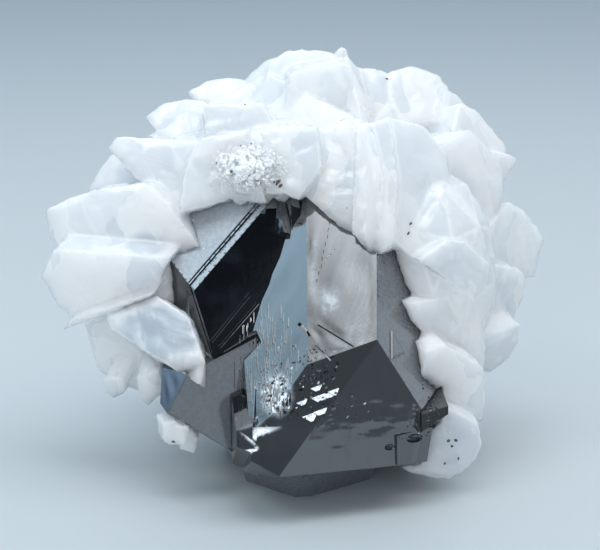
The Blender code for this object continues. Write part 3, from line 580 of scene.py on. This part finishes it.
def sphalerite_material(settings):
    material, nodes, shader = new_material("sphalerite_mirror")
    shader.inputs["IOR"].default_value = settings.refraction
    striae = stretched_grain(nodes, "striae")
    cloud = stretched_grain(nodes, "cloud")
    frost_and_reflection_mottle = stretched_grain(nodes, "frost_and_reflection_mottle")
    frost = nodes.attribute("frost")
    painted_glare = stretched_grain(nodes, "painted_glare")
    # Painted glare: above 0.9, the attribute paints the grain's crests near white, in place of a
    # highlight
    glare = nodes.math("MULTIPLY", nodes.spread(frost, 0.9, 1.6), painted_glare["Mask"])
    # Frosting and painted reflection: up to 1, the attribute paints a grey in place of what the
    # faces mirror
    frost = nodes.math("MINIMUM", frost, 1.0)
    colour = nodes.mix(cloud["Mask"], settings.colour, settings.cloud_colour)
    frosted = nodes.math("MULTIPLY", frost, nodes.spread(frost_and_reflection_mottle["Mask"], 0.0, 1.0, 0.8, 1.0))
    colour = nodes.mix(frosted, colour, settings.frost_and_painted_reflection_colour)
    nodes.link(nodes.mix(glare, colour, settings.painted_glare_colour), shader.inputs["Base Color"])
    rough = nodes.spread(striae["Mask"], 0.0, 1.0, settings.roughness, settings.roughness * 2.5)
    nodes.link(nodes.math("ADD", rough, nodes.math("MULTIPLY", frost, 0.30)),
               shader.inputs["Roughness"])
    nodes.bump(shader, striae["Height"], strength=settings.striation, distance=0.00002)
    return material


def calcite_material(name, settings, milkiness, clarity):
    material, nodes, shader = new_material(name)
    shader.inputs["IOR"].default_value = CALCITE_REFRACTION
    shader.inputs["Subsurface Weight"].default_value = milkiness
    shader.inputs["Transmission Weight"].default_value = clarity
    shader.inputs["Subsurface Scale"].default_value = settings.depth
    shader.inputs["Subsurface Radius"].default_value = SCATTER_REACH
    shader.inputs["Coat Roughness"].default_value = 0.12
    veil = stretched_grain(nodes, "veil")
    wisp = stretched_grain(nodes, "wisp")
    silk = stretched_grain(nodes, "silk")
    sugar = stretched_grain(nodes, "sugar")
    body = nodes.mix(veil["Mask"], settings.clear_colour, settings.colour)
    windows = crystal_windows(nodes, Turn=(0.3, -0.25, 0.4), Stretch=(1.0, 1.0, 0.55),
                              Scale=150.0, Bend=0.006, Low=0.35, Strength=0.42)
    clear = nodes.math("MAXIMUM", nodes.attribute("clearness"), windows)
    body = nodes.mix(clear, body, settings.window_colour)
    body = nodes.mix(nodes.math("MULTIPLY", wisp["Mask"], 0.5), body, settings.edge_highlight_and_wisp_colour)
    # Painted highlight: the calcite is painted paler near its sharp edges; grains without that
    # distance are pale all over
    reach, paleness = PAINTED_EDGE_HIGHLIGHT
    edge = nodes.spread(nodes.attribute("edge_distance"), 0.0, reach, paleness, 0.0)
    nodes.link(nodes.mix(edge, body, settings.edge_highlight_and_wisp_colour), shader.inputs["Base Color"])
    nodes.link(nodes.spread(silk["Mask"], 0.0, 1.0, settings.roughness,
                            settings.roughness * 1.6), shader.inputs["Roughness"])
    nodes.link(nodes.spread(veil["Mask"], 0.0, 1.0, 0.7, 0.3), shader.inputs["Coat Weight"])
    height = nodes.math("ADD", nodes.math("MULTIPLY", sugar["Height"], 0.25), wisp["Height"])
    height = nodes.math("ADD", height, silk["Height"])
    crests = nodes.math("MULTIPLY", sugar["Mask"], nodes.attribute("sugar"))
    height = nodes.math("ADD", height, nodes.math("MULTIPLY", crests, 2.0))
    nodes.bump(shader, height, strength=0.5, distance=0.00012)
    return material


# ---------------------------------------------------------------- settings

def colour_property(**given):
    """A setting that is a colour."""
    return FloatVectorProperty(subtype="COLOR", size=3, min=0.0, max=1.0, **given)


def share_property(**given):
    """A setting from 0 to 1."""
    return FloatProperty(subtype="FACTOR", min=0.0, max=1.0, **given)


class SphaleriteSettings(bpy.types.PropertyGroup):
    colour: colour_property(
        name="Colour", description="Body colour of the sphalerite",
        default=(0.006, 0.007, 0.009))
    cloud_colour: colour_property(
        name="Cloud colour", description="Colour of its faint clouds",
        default=(0.012, 0.015, 0.019))
    # The frost colour is also painted reflection: the grey that stands in for what frosted faces
    # mirror
    frost_and_painted_reflection_colour: colour_property(
        name="Frost colour", description="Colour of its frosted faces",
        default=(0.38, 0.42, 0.46))
    # The powder colour is painted glare: the near white of the glare patch and of small faces that
    # look up
    painted_glare_colour: colour_property(
        name="Powder colour", description="Colour of its powdered patches",
        default=(0.86, 0.93, 1.0))
    roughness: share_property(
        name="Roughness", description="Roughness of its faces", default=0.035)
    refraction: FloatProperty(
        name="Refraction", description="Index of refraction", default=2.37, min=1.0, max=4.0)
    striation: share_property(
        name="Striation", description="Strength of the fine striations", default=0.25)
    facet_step: FloatProperty(
        name="Facet step", description="Longest edge of the finely divided faces",
        default=0.00066, min=0.0002, max=0.01, unit="LENGTH")


class CalciteSettings(bpy.types.PropertyGroup):
    colour: colour_property(
        name="Colour", description="Milky body colour", default=(0.955, 0.965, 0.97))
    clear_colour: colour_property(
        name="Clear colour", description="Colour where the crystal is clearer",
        default=(0.935, 0.95, 0.96))
    window_colour: colour_property(
        name="Window colour", description="Colour where a crystal is nearly clear",
        default=(0.53, 0.58, 0.635))
    # The edge colour is painted highlight along sharp edges, and also the colour of the random
    # wisps
    edge_highlight_and_wisp_colour: colour_property(
        name="Edge colour", description="Colour of edges and veils",
        default=(0.97, 0.985, 0.99))
    milkiness: share_property(
        name="Milkiness", description="Share of light scattered inside", default=1.0)
    clarity: share_property(
        name="Clarity", description="Share of light that passes straight through", default=0.08)
    depth: FloatProperty(
        name="Depth", description="How far light spreads inside", default=0.0060,
        min=0.0, max=0.05, unit="LENGTH")
    roughness: share_property(
        name="Roughness", description="Roughness of its faces", default=0.32)
    grid: FloatProperty(
        name="Grid", description="Longest edge of the finely divided faces",
        default=0.0008, min=0.0004, max=0.01, unit="LENGTH")
    growth_size: FloatProperty(
        name="Growth size", description="Size of the small faces on a crystal",
        default=0.0038, min=0.001, max=0.02, unit="LENGTH")
    growth_slope: FloatProperty(
        name="Growth slope", description="Steepest slope of those faces, as rise over run",
        default=0.24, min=0.0, max=1.0)


class GrainSettings(bpy.types.PropertyGroup):
    colour: colour_property(
        name="Colour", description="Colour of the dark grains", default=(0.05, 0.045, 0.04))
    pale_colour: colour_property(
        name="Pale colour", description="Colour of the flecks in the dark grains",
        default=(0.20, 0.20, 0.19))
    sugar_count: IntProperty(
        name="Sugar count", description="Grains in the sugary crust", default=620,
        min=0, max=2000)
    sugar_size: FloatProperty(
        name="Sugar size", description="Size that the radii of those grains are shares of",
        default=0.0010, min=0.0002, max=0.005, unit="LENGTH")


class StageSettings(bpy.types.PropertyGroup):
    # Painted light falloff: the floor is painted lighter by the specimen and darker further out
    floor_colour: colour_property(
        name="Floor colour", description="Colour of the floor by the specimen",
        default=(0.53, 0.575, 0.595))
    floor_painted_falloff_colour: colour_property(
        name="Far floor colour", description="Colour of the floor further away",
        default=(0.37, 0.435, 0.495))
    floor_radius: FloatProperty(
        name="Floor radius", description="Radius of the floor", default=1.1,
        min=0.2, max=5.0, unit="LENGTH")
    key_strength: FloatProperty(
        name="Key strength", description="Brightness of the broad softbox overhead",
        default=5.9, min=0.0, max=50.0)
    fill_power: FloatProperty(
        name="Fill power", description="Power of the soft light that fills the right side",
        default=4.5, min=0.0, max=500.0, unit="POWER")
    camera_distance: FloatProperty(
        name="Camera distance", description="From the camera to the specimen",
        default=0.4, min=0.1, max=5.0, unit="LENGTH")
    camera_elevation: FloatProperty(
        name="Camera elevation", description="Height of the camera's view as an angle",
        default=math.radians(14), min=0.0, max=math.pi / 2, subtype="ANGLE")


# ---------------------------------------------------------------- operators

class SPECIMEN_OT_sphalerite(bpy.types.Operator):
    """Give the sphalerite its fine relief, ridges and flakes, and its mirror-bright finish"""
    bl_idname = "specimen.sphalerite"
    bl_label = "Sphalerite"

    def execute(self, context):
        settings = context.scene.specimen_sphalerite
        mesh = divided_sphalerite(settings)
        lay_relief(mesh)
        add_broken_relief(mesh, random.Random(3))
        for vert in mesh.verts:
            vert.co.y = max(vert.co.y, CAD_BOX[0][1])
        for face in mesh.faces:
            face.smooth = True
        piece = new_piece("sphalerite_crystals", mesh, sphalerite_material(settings))
        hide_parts("sphalerite")
        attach(piece, "root")
        return {"FINISHED"}


def divided_sphalerite(settings):
    """A copy of the sphalerite, finely divided towards the front."""
    mesh = copy_of_node("sphalerite")
    hidden = place(0, SPHALERITE_DEPTH, 0).y

    def seen(edge):
        return min(vert.co.y for vert in edge.verts) < hidden

    def rough(edge):
        middle = (edge.verts[0].co + edge.verts[1].co) / 2
        return seen(edge) and any(zone_share(middle, *zone[:2]) > 0.0 for zone in ROUGH_ZONES)

    refine(mesh, settings.facet_step * 4, seen)
    even_out(mesh, seen)
    refine(mesh, settings.facet_step, seen)
    refine(mesh, ROUGH_STEP * MM, rough, rounds=3)
    mesh.normal_update()
    return mesh


def lay_relief(mesh):
    """Move the faces by their relief, mark how frosted they are and where reflection and glare are
    painted, and keep the sharp edges.
    """
    edges = sharp_edges(mesh, SPHALERITE_SHARP)
    near = distance_to(edges, spacing=0.0003)
    sharp = set(edges)
    frost = mesh.verts.layers.float.new("frost")
    moves = []
    for vert in mesh.verts:
        face = face_of(vert.normal)
        vert[frost] = frost_and_painted_light_at(vert.co, vert.normal, face)
        fade = smoothstep(near(vert.co), *RELIEF_FADE)
        if fade > 0.0:
            moves.append((vert, vert.normal * face_relief(vert.co, vert.normal, face) * fade))
    for vert, move in moves:
        vert.co += move
        vert.co.z = max(vert.co.z, 0.0)
    for edge in mesh.edges:
        edge.smooth = edge not in sharp


def add_broken_relief(mesh, rng):
    """Set fine ridges, dotted cracks and small flakes in the faces under them."""
    ground = BVHTree.FromBMesh(mesh)
    for facing, start, end, half_width, slope in RIDGES:
        out = direction(*facing)
        ends = [ground.ray_cast(place(*point) + out * 3 * MM, -out)[0] for point in (start, end)]
        add_ridge(mesh, out, *ends, half_width * MM, slope)
    for middle, sizes, count, lengths in RIDGE_PATCHES:
        for _ in range(count):
            foot = spot_in(middle, sizes, rng)[0]
            head = (foot[0], foot[1] + rng.uniform(*lengths))
            add_seen_ridge(mesh, ground, foot, head, rng.uniform(*PATCH_RIDGE_WIDTHS),
                           PATCH_RIDGE_SLOPE)
    for start, end, dashes in DOTTED_CRACKS:
        way = Vector(end) - Vector(start)
        for dash in range(dashes):
            foot = Vector(start) + way * dash / dashes
            foot.x += rng.uniform(-CRACK_SHIFT, CRACK_SHIFT)
            add_seen_ridge(mesh, ground, foot, foot + way * CRACK_DASH / dashes, *CRACK_RIDGE)
    for middle, sizes, count, radius, spread in FLAKE_PATCHES:
        for _ in range(count):
            facing = [angle + rng.gauss(0, spread / 2) for angle in FLAKES_FACING]
            add_flake(mesh, ground, spot_in(middle, sizes, rng)[0], direction(*facing),
                      rng.uniform(0.3, 1.0) * radius * MM, rng)


def frost_and_painted_light_at(point, normal, face):
    """How frosted the sphalerite is at a point, with painted reflection and glare: 0 is a mirror, 1
    frosting with painted reflection and 2 painted glare.
    """
    share = max(face.frost if face else 0.0, LUMP_FROST_AND_REFLECTION * zone_share(point, *LUMP))
    # On the silver face, painted reflection takes the place of frosting
    if face is FACES["silver_face"]:
        share = painted_reflection_share(point, normal)
    # Painted glare: near white in the patch among the flakes, and on small faces that look up in
    # the highlight patches
    painted_glare = mottled(point, *PAINTED_GLARE_MOTTLE) * (PAINTED_GLARE * seen_share(point, *GLARE))
    if face is not FACES["glinting_slope"] and normal.z > LOOKS_UP:
        painted_glare = max([painted_glare] + [PAINTED_GLARE * seen_share(point, *edge) for edge in PAINTED_HIGHLIGHT_PATCHES])
    return max(share, min(PAINTED_GLARE, painted_glare))


def face_of(normal):
    """The named sphalerite face that looks this way, if any."""
    for face in FACES.values():
        if normal.dot(direction(*face.facing)) > FACE_MATCH:
            return face
    return None


def grain_noise(point, normal, across_wave, along_wave, lean, seed):
    """Noise on a face, drawn out along a line that leans from the face's upright."""
    across = Vector((0, 0, 1)).cross(normal)
    across = across.normalized() if across.length > 0.1 else Vector((1, 0, 0))
    turned = Matrix.Rotation(math.radians(lean), 3, normal)
    across = turned @ across
    up = normal.cross(across)
    laid = Vector((point.dot(across) / (across_wave * MM), point.dot(up) / (along_wave * MM),
                   seed * 7.3))
    return noise.noise(laid)


def face_relief(point, normal, face):
    """Height of the fine relief at a point of a sphalerite face."""
    height = 0.0
    for seed, (across, along, rise, lean) in enumerate(face.relief if face else OTHER_RELIEF):
        height += rise * grain_noise(point, normal, across, along, lean, seed)
    if face is FACES["silver_face"]:
        height += ripple_height(point)
    for seed, (centre, radii, (across, along, rise)) in enumerate(ROUGH_ZONES):
        share = zone_share(point, centre, radii)
        if share > 0.0:
            height += rise * share * grain_noise(point, normal, across, along, 0, seed + 20)
    return height * MM


def ripple_height(point):
    """Height of the shell-shaped ripples at a point of the silver face, in millimetres."""
    off = point - place(*RIPPLE_CENTRE)
    away = off.length / MM
    nearest, furthest = RIPPLE_RINGS
    share = (smoothstep(away, nearest, nearest + RIPPLE_FADES[0])
             * (1 - smoothstep(away, furthest - RIPPLE_FADES[1], furthest)))
    share *= smoothstep(off.x / MM, *RIPPLE_ONSET)
    wander, wander_size = RIPPLE_WANDER
    turns = away / RIPPLE_SPACING + wander * noise.noise(point / wander_size)
    return RIPPLE_HEIGHT * share * math.sin(2 * math.pi * turns)


def add_ridge(mesh, out, start, end, half_width, slope):
    """A hair-thin ridge with sloping flanks and tapering ends, on a face that looks this way."""
    along = (end - start).normalized()
    side = out.cross(along) * half_width
    rise = out * half_width * slope
    sink = out * half_width * RIDGE_SINK
    taper = along * half_width * RIDGE_TAPER
    foot = [start - sink, end - sink]
    crest = [start + taper + rise, end - taper + rise]
    left = [mesh.verts.new(point + side) for point in foot]
    right = [mesh.verts.new(point - side) for point in foot]
    top = [mesh.verts.new(point) for point in crest]
    for corners in ((left[0], left[1], top[1], top[0]), (right[1], right[0], top[0], top[1]),
                    (left[0], top[0], right[0]), (left[1], right[1], top[1]),
                    (left[1], left[0], right[0], right[1])):
        face = mesh.faces.new(corners)
        for edge in face.edges:
            edge.smooth = False


def painted_reflection_share(point, normal):
    """Painted reflection at a point of the silver face: patches, streaks and arcs round the
    ripples.
    """
    share = sum(strength * seen_share(point, middle, sizes) for middle, sizes, strength in PAINTED_REFLECTION_PATCHES)
    cloud = smoothstep(mottled(point, *PAINTED_REFLECTION_MOTTLE), -0.3, 0.5)
    streak = grain_noise(point, normal, *PAINTED_REFLECTION_STREAKS)
    wander, wander_size = PAINTED_REFLECTION_WANDER
    away = (point - place(*RIPPLE_CENTRE)).length / MM + wander * noise.noise(point / wander_size)
    arc = math.sin(2 * math.pi * away / RIPPLE_SPACING)
    arc *= smoothstep(seen_at(point)[0], *PAINTED_REFLECTION_ARCS)
    least, more = PAINTED_REFLECTION_CLOUDS
    streak_share, arc_share, least_painted_reflection = PAINTED_REFLECTION_SHARES
    return max(0.0, share * (least + more * cloud) + streak_share * streak + arc_share * arc
               + least_painted_reflection)


def add_seen_ridge(mesh, ground, foot, head, half_width, slope):
    """A ridge between two places seen from in front, where one flat face lies under it all."""
    hits = [ground.ray_cast(*sight_line(*Vector(foot).lerp(Vector(head), share)))
            for share in (0.0, 0.5, 1.0)]
    if any(hit[0] is None for hit in hits):
        return
    (start, out, _, _), (middle, _, _, _), (end, end_out, _, _) = hits
    if out.dot(end_out) > ONE_FACE and ((start + end) / 2 - middle).length < RIDGE_SAG * MM:
        add_ridge(mesh, out, start, end, half_width * MM, slope)


def add_flake(mesh, ground, spot, out, radius, rng):
    """A small flat-topped flake that looks this way, set in the face under it."""
    point, normal, _, _ = ground.ray_cast(*sight_line(*spot))
    if point is None or normal.dot(out) < 0.5:
        return
    across = out.orthogonal().normalized()
    up = out.cross(across)
    start = rng.uniform(0, 2 * math.pi)
    top, foot = [], []
    for corner in range(FLAKE_CORNERS):
        turn = start + 2 * math.pi * corner / FLAKE_CORNERS
        reach = radius * rng.uniform(0.5, 1.0)
        off = across * math.cos(turn) * reach + up * math.sin(turn) * reach
        top.append(mesh.verts.new(point + off + normal * radius * FLAKE_RISE))
        foot.append(mesh.verts.new(point + off * FLAKE_FLARE - normal * radius))
    sides = [(foot[one - 1], foot[one], top[one], top[one - 1]) for one in range(FLAKE_CORNERS)]
    for corners in [top, foot[::-1]] + sides:
        for edge in mesh.faces.new(corners).edges:
            edge.smooth = False


class SPECIMEN_OT_calcite(bpy.types.Operator):
    """Give the crust and the knob small growth faces, scalloped edges and a milky finish"""
    bl_idname = "specimen.calcite"
    bl_label = "Calcite"

    def execute(self, context):
        settings = context.scene.specimen_calcite
        material = calcite_material("calcite_milky", settings, settings.milkiness,
                                    settings.clarity)
        for node, name in (("calcite", "calcite_crust"), ("calcite_knob", "calcite_knob_crystals")):
            mesh = grown_calcite(node, settings)
            piece = new_piece(name, mesh, material)
            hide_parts(node)
            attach(piece, "root")
        return {"FINISHED"}


def growth_planes(mesh, settings, rng):
    """Small faces spread over a mesh: a centre for each, its slope and its height."""
    cells = {}
    verts = list(mesh.verts)
    rng.shuffle(verts)
    for vert in verts:
        cells.setdefault(tuple(int(part // settings.growth_size) for part in vert.co), vert)
    planes = []
    for vert in cells.values():
        cleavage = min(CLEAVAGES, key=lambda way: -vert.normal.dot(way) + rng.uniform(0, 0.5))
        slope = cleavage - vert.normal * cleavage.dot(vert.normal)
        slope *= settings.growth_slope * rng.uniform(0.4, 1.0) / max(slope.length, 0.3)
        planes.append((vert.co.copy(), slope, rng.uniform(*GROWTH_HEIGHTS)))
    tree = KDTree(len(planes))
    for index, (centre, _, _) in enumerate(planes):
        tree.insert(centre, index)
    tree.balance()
    return planes, tree


def growth_height(point, planes, tree):
    """Height of the outermost of the small faces near a point."""
    best = -1.0
    for centre, index, away in tree.find_n(point, GROWTH_FACES_NEAR):
        _, slope, rise = planes[index]
        best = max(best, rise + slope.dot(point - centre) - GROWTH_BULGE * away * away)
    return best


def grown_calcite(node, settings):
    """A copy of a calcite solid with growth faces, rounded valleys and scalloped edges."""
    mesh = copy_of_node(node)
    first, back, front, finest = (settings.grid * share for share in CALCITE_GRIDS)

    def in_front(edge, depth):
        return edge.verts[0].co.y < place(0, depth, 0).y

    refine(mesh, first, lambda edge: True)
    even_out(mesh, lambda edge: True)
    refine(mesh, back, lambda edge: True)
    refine(mesh, front, lambda edge: in_front(edge, CALCITE_DEPTHS[0]))
    mesh.normal_update()
    sharp = sharp_edges(mesh, CALCITE_SHARP)
    near = distance_to(sharp)
    near_valley = distance_to([edge for edge in sharp if not edge.is_convex])
    valley = [vert for vert in mesh.verts if near_valley(vert.co) < VALLEY_WIDTH]
    for _ in range(2):
        relax(mesh, valley, factor=0.5)
    near_ridge = distance_to([edge for edge in sharp if edge.is_convex])
    refine(mesh, finest, lambda edge: in_front(edge, CALCITE_DEPTHS[1])
           and near_ridge(edge.verts[0].co) < RIDGE_WIDTH, rounds=1)
    mesh.normal_update()
    planes, tree = growth_planes(mesh, settings, random.Random(5))
    rim = mesh.verts.layers.float.new("edge_distance")
    clearness = mesh.verts.layers.float.new("clearness")
    sugar = mesh.verts.layers.float.new("sugar")
    moves = []
    for vert in mesh.verts:
        away = near(vert.co)
        vert[rim] = away
        vert[clearness] = clearness_at(vert.co, vert.normal)
        vert[sugar] = zone_share(vert.co, *SUGAR_ZONE)
        growth = growth_height(vert.co, planes, tree) * smoothstep(away, *GROWTH_FADE)
        growth *= 1.0 - vert[sugar]
        wavelength, height = CALCITE_RIPPLE
        ripple = noise.noise(vert.co / wavelength) * height
        scallop = max(0.0, mottled(vert.co, *SCALLOP_MOTTLE)) * SCALLOP_DEPTH
        scallop *= 1.0 - smoothstep(near_ridge(vert.co), 0.0, SCALLOP_REACH)
        moves.append(vert.normal * (growth + ripple - scallop))
    for vert, move in zip(mesh.verts, moves):
        vert.co += move
    relax(mesh, mesh.verts[:], factor=0.35)
    for vert in mesh.verts:
        vert.co.z = max(vert.co.z, 0.0)
    for face in mesh.faces:
        face.smooth = True
    return mesh


def clearness_at(point, normal):
    """How clear the calcite is at a point: clear lobes and windows, and single clearer faces."""
    clear, tints = CLEAR_FACES
    tint = noise.noise(normal * TINT_PER_TURN + point / TINT_SIZE)
    return max([clear * smoothstep(tint, *tints)] + [
        share * zone_share(point, *zone) for share, *zone in CLEAR_ZONES])


class SPECIMEN_OT_grains(bpy.types.Operator):
    """Set dark and white grains, and the sugary crust above the black face, on the crystals"""
    bl_idname = "specimen.grains"
    bl_label = "Grains"

    def execute(self, context):
        settings = context.scene.specimen_grains
        rng = random.Random(9)
        dark = grain_mesh(DARK_GRAINS, rng)
        piece = new_piece("dark_grains", dark, grain_material(settings))
        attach(piece, "root")
        white = grain_mesh(WHITE_GRAINS + sugar_places(settings, rng), rng)
        material = calcite_material("calcite_sugary", context.scene.specimen_calcite, 0.0, 0.0)
        piece = new_piece("white_grains", white, material)
        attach(piece, "root")
        return {"FINISHED"}


def sugar_places(settings, rng):
    """Places of the sugary grains, smaller towards the rim of their patch."""
    places = []
    for _ in range(settings.sugar_count):
        spot, reach = spot_in(*SUGAR_PATCH, rng)
        places.append((*spot, rng.uniform(*SUGAR_RADII) * (SUGAR_MIDDLE - reach)
                       * settings.sugar_size / MM, 1.0))
    return tuple(places)


def grain_mesh(places, rng):
    """One small angular grain at each place, set on the crystal behind it."""
    ground = [BVHTree.FromObject(bpy.data.objects[name], bpy.context.evaluated_depsgraph_get())
              for name in ("calcite_crust", "calcite_knob_crystals", "sphalerite_crystals")]
    mesh = bmesh.new()
    for across, rise, size, squash in places:
        hits = [tree.ray_cast(*sight_line(across, rise)) for tree in ground]
        hits = [hit for hit in hits if hit[0] is not None]
        if not hits:
            continue
        point, normal, _, _ = min(hits, key=lambda hit: hit[3])
        turn = normal.to_track_quat("Z", "Y").to_matrix().to_4x4()
        turn = turn @ Matrix.Rotation(rng.uniform(0, 2 * math.pi), 4, "Z")
        stretch = Matrix.Diagonal((1.0, squash, rng.uniform(*GRAIN_HEIGHTS), 1.0))
        made = bmesh.ops.create_icosphere(
            mesh, subdivisions=1, radius=size * MM,
            matrix=Matrix.Translation(point - normal * size * MM * GRAIN_SINK) @ turn @ stretch)
        for vert in made["verts"]:
            vert.co += Vector([rng.uniform(-GRAIN_UNEVENNESS, GRAIN_UNEVENNESS)
                               for _ in range(3)]) * size * MM
            vert.co.z = max(vert.co.z, 0.0)
    return mesh


def grain_material(settings):
    material, nodes, shader = new_material("grain_dark")
    fleck = stretched_grain(nodes, "fleck")
    nodes.link(nodes.mix(fleck["Mask"], settings.colour, settings.pale_colour),
               shader.inputs["Base Color"])
    nodes.link(nodes.spread(fleck["Mask"], 0.0, 1.0, 0.3, 0.6), shader.inputs["Roughness"])
    nodes.bump(shader, fleck["Height"], strength=0.4, distance=0.0001)
    return material


class SPECIMEN_OT_stage(bpy.types.Operator):
    """Lay the floor, hang the lights and set the camera"""
    bl_idname = "specimen.stage"
    bl_label = "Stage"

    def execute(self, context):
        settings = context.scene.specimen_stage
        make_floor(settings)
        hang_dark_card()
        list(hang_lights(settings))
        context.scene.view_settings.view_transform = "Standard"
        make_world()
        set_camera(context.scene, settings)
        return {"FINISHED"}


def make_floor(settings):
    mesh = bmesh.new()
    bmesh.ops.create_circle(mesh, cap_ends=True, segments=96, radius=settings.floor_radius)
    material, nodes, shader = new_material("floor_pale")
    where = nodes.add("ShaderNodeTexCoord").outputs["Object"]
    far = nodes.value("ShaderNodeVectorMath", {0: where}, operation="LENGTH").outputs["Value"]
    # Painted light falloff: lighter by the specimen, darker further out
    share = nodes.spread(far, *PAINTED_FLOOR_FALLOFF)
    nodes.link(nodes.mix(share, settings.floor_colour, settings.floor_painted_falloff_colour),
               shader.inputs["Base Color"])
    shader.inputs["Roughness"].default_value = 0.5
    return new_piece("floor", mesh, material)


def aim(thing, turned, distance, target=CARD_TARGET):
    """Set a card, light or camera out from a target, this way, and turn it back to face it."""
    out = direction(*turned)
    thing.location = place(*target) + out * distance
    thing.rotation_euler = out.to_track_quat("Z", "Y").to_euler()


def hung_card(name, size, material):
    """A rectangular card that the camera doesn't see and that casts no shadow."""
    mesh = bmesh.new()
    bmesh.ops.create_grid(mesh, x_segments=1, y_segments=1, size=0.5)
    mesh.transform(Matrix.Diagonal((*size, 1.0, 1.0)))
    card = new_piece(name, mesh, material)
    card.visible_camera = False
    card.visible_shadow = False
    return card


def softbox(name, size, strength, colour, rim):
    """A glowing card, brightest in its middle, with the given share of that at its rim."""
    material, nodes, shader = new_material(name + "_glow")
    nodes.tree.nodes.remove(shader)
    where = nodes.value("ShaderNodeMapping", {
        "Vector": nodes.add("ShaderNodeTexCoord").outputs["Object"],
        "Scale": (2 / size[0], 2 / size[1], 1.0)})
    away = nodes.value("ShaderNodeVectorMath", {0: where.outputs[0]}, operation="LENGTH")
    glow = nodes.spread(away.outputs["Value"], 0.0, 1.0, strength, strength * rim)
    light = nodes.value("ShaderNodeEmission", {"Color": (*colour, 1.0), "Strength": glow})
    nodes.link(light.outputs[0], nodes.tree.nodes["Material Output"].inputs["Surface"])
    return hung_card(name, size, material)


def fill_light(name, size, power):
    """A wide soft light that the mirror faces don't show."""
    lamp = bpy.data.lights.new(name, "AREA")
    lamp.size = size
    lamp.energy = power
    lamp.color = FILL_COLOUR
    light = bpy.data.objects.new(name, lamp)
    light.visible_glossy = False
    light.visible_camera = False
    bpy.context.scene.collection.objects.link(light)
    return light


def hang_lights(settings):
    boxes = []
    for name, turned, distance, size, share, colour, rim in SOFTBOXES:
        box = softbox(name, size, settings.key_strength * share, colour, rim)
        aim(box, turned, distance)
        boxes.append(box)
    for name, turned, distance, size, share in FILLS:
        aim(fill_light(name, size, settings.fill_power * share), turned, distance)
    return boxes


def hang_dark_card():
    """A dark, faintly glowing card, low at the front right, that only mirror faces see."""
    material, _, shader = new_material("card_dark")
    shader.inputs["Base Color"].default_value = (0.01, 0.01, 0.012, 1.0)
    shader.inputs["Roughness"].default_value = 1.0
    shader.inputs["Emission Color"].default_value = (0.75, 0.88, 1.0, 1.0)
    shader.inputs["Emission Strength"].default_value = DARK_CARD_GLOW
    turned, distance, size, foot = DARK_CARD
    card = hung_card("dark_card", size, material)
    aim(card, turned, distance, foot)
    card.location.z += size[1] / 2
    card.visible_diffuse = False
    card.visible_transmission = False
    return card


def make_world():
    world = bpy.data.worlds.new("studio")
    bpy.context.scene.world = world
    world.use_nodes = True
    nodes = Nodes(world.node_tree)
    way = nodes.add("ShaderNodeTexCoord").outputs["Generated"]
    parts = nodes.value("ShaderNodeSeparateXYZ", {"Vector": way})
    share = nodes.spread(parts.outputs["Y"], *SURROUNDINGS_TURN)
    nodes.link(nodes.mix(share, *SURROUNDINGS), nodes.tree.nodes["Background"].inputs["Color"])


def set_camera(scene, settings):
    data = bpy.data.cameras.new("camera")
    data.sensor_width = SENSOR_WIDTH
    data.lens = FOCAL_LENGTH
    data.clip_start = 0.01
    data.shift_x, data.shift_y = FRAME_SHIFT
    camera = bpy.data.objects.new("camera", data)
    scene.collection.objects.link(camera)
    aim(camera, (0.0, math.degrees(settings.camera_elevation)), settings.camera_distance,
        (0, 0, FRONT_HEIGHT))
    scene.camera = camera


# ---------------------------------------------------------------- panel

PIECES = (
    ("specimen_sphalerite", SphaleriteSettings, SPECIMEN_OT_sphalerite),
    ("specimen_calcite", CalciteSettings, SPECIMEN_OT_calcite),
    ("specimen_grains", GrainSettings, SPECIMEN_OT_grains),
    ("specimen_stage", StageSettings, SPECIMEN_OT_stage),
)


class SPECIMEN_PT_pieces(bpy.types.Panel):
    """Lists the pieces of the specimen and their settings"""
    bl_label = "Calcite on sphalerite"
    bl_idname = "SPECIMEN_PT_pieces"
    bl_space_type = "VIEW_3D"
    bl_region_type = "UI"
    bl_category = "Specimen"

    def draw(self, context):
        for name, _, operator in PIECES:
            box = self.layout.box()
            box.operator(operator.bl_idname)
            settings = getattr(context.scene, name)
            for key in settings.bl_rna.properties.keys():
                if key not in ("name", "rna_type"):
                    box.prop(settings, key)


def register():
    for name, settings, operator in PIECES:
        bpy.utils.register_class(settings)
        bpy.utils.register_class(operator)
        setattr(bpy.types.Scene, name, PointerProperty(type=settings))
    bpy.utils.register_class(SPECIMEN_PT_pieces)


def unregister():
    bpy.utils.unregister_class(SPECIMEN_PT_pieces)
    for name, settings, operator in reversed(PIECES):
        delattr(bpy.types.Scene, name)
        bpy.utils.unregister_class(operator)
        bpy.utils.unregister_class(settings)


def main():
    register()
    bpy.ops.specimen.sphalerite()
    bpy.ops.specimen.calcite()
    bpy.ops.specimen.grains()
    bpy.ops.specimen.stage()


if __name__ == "__main__":
    main()
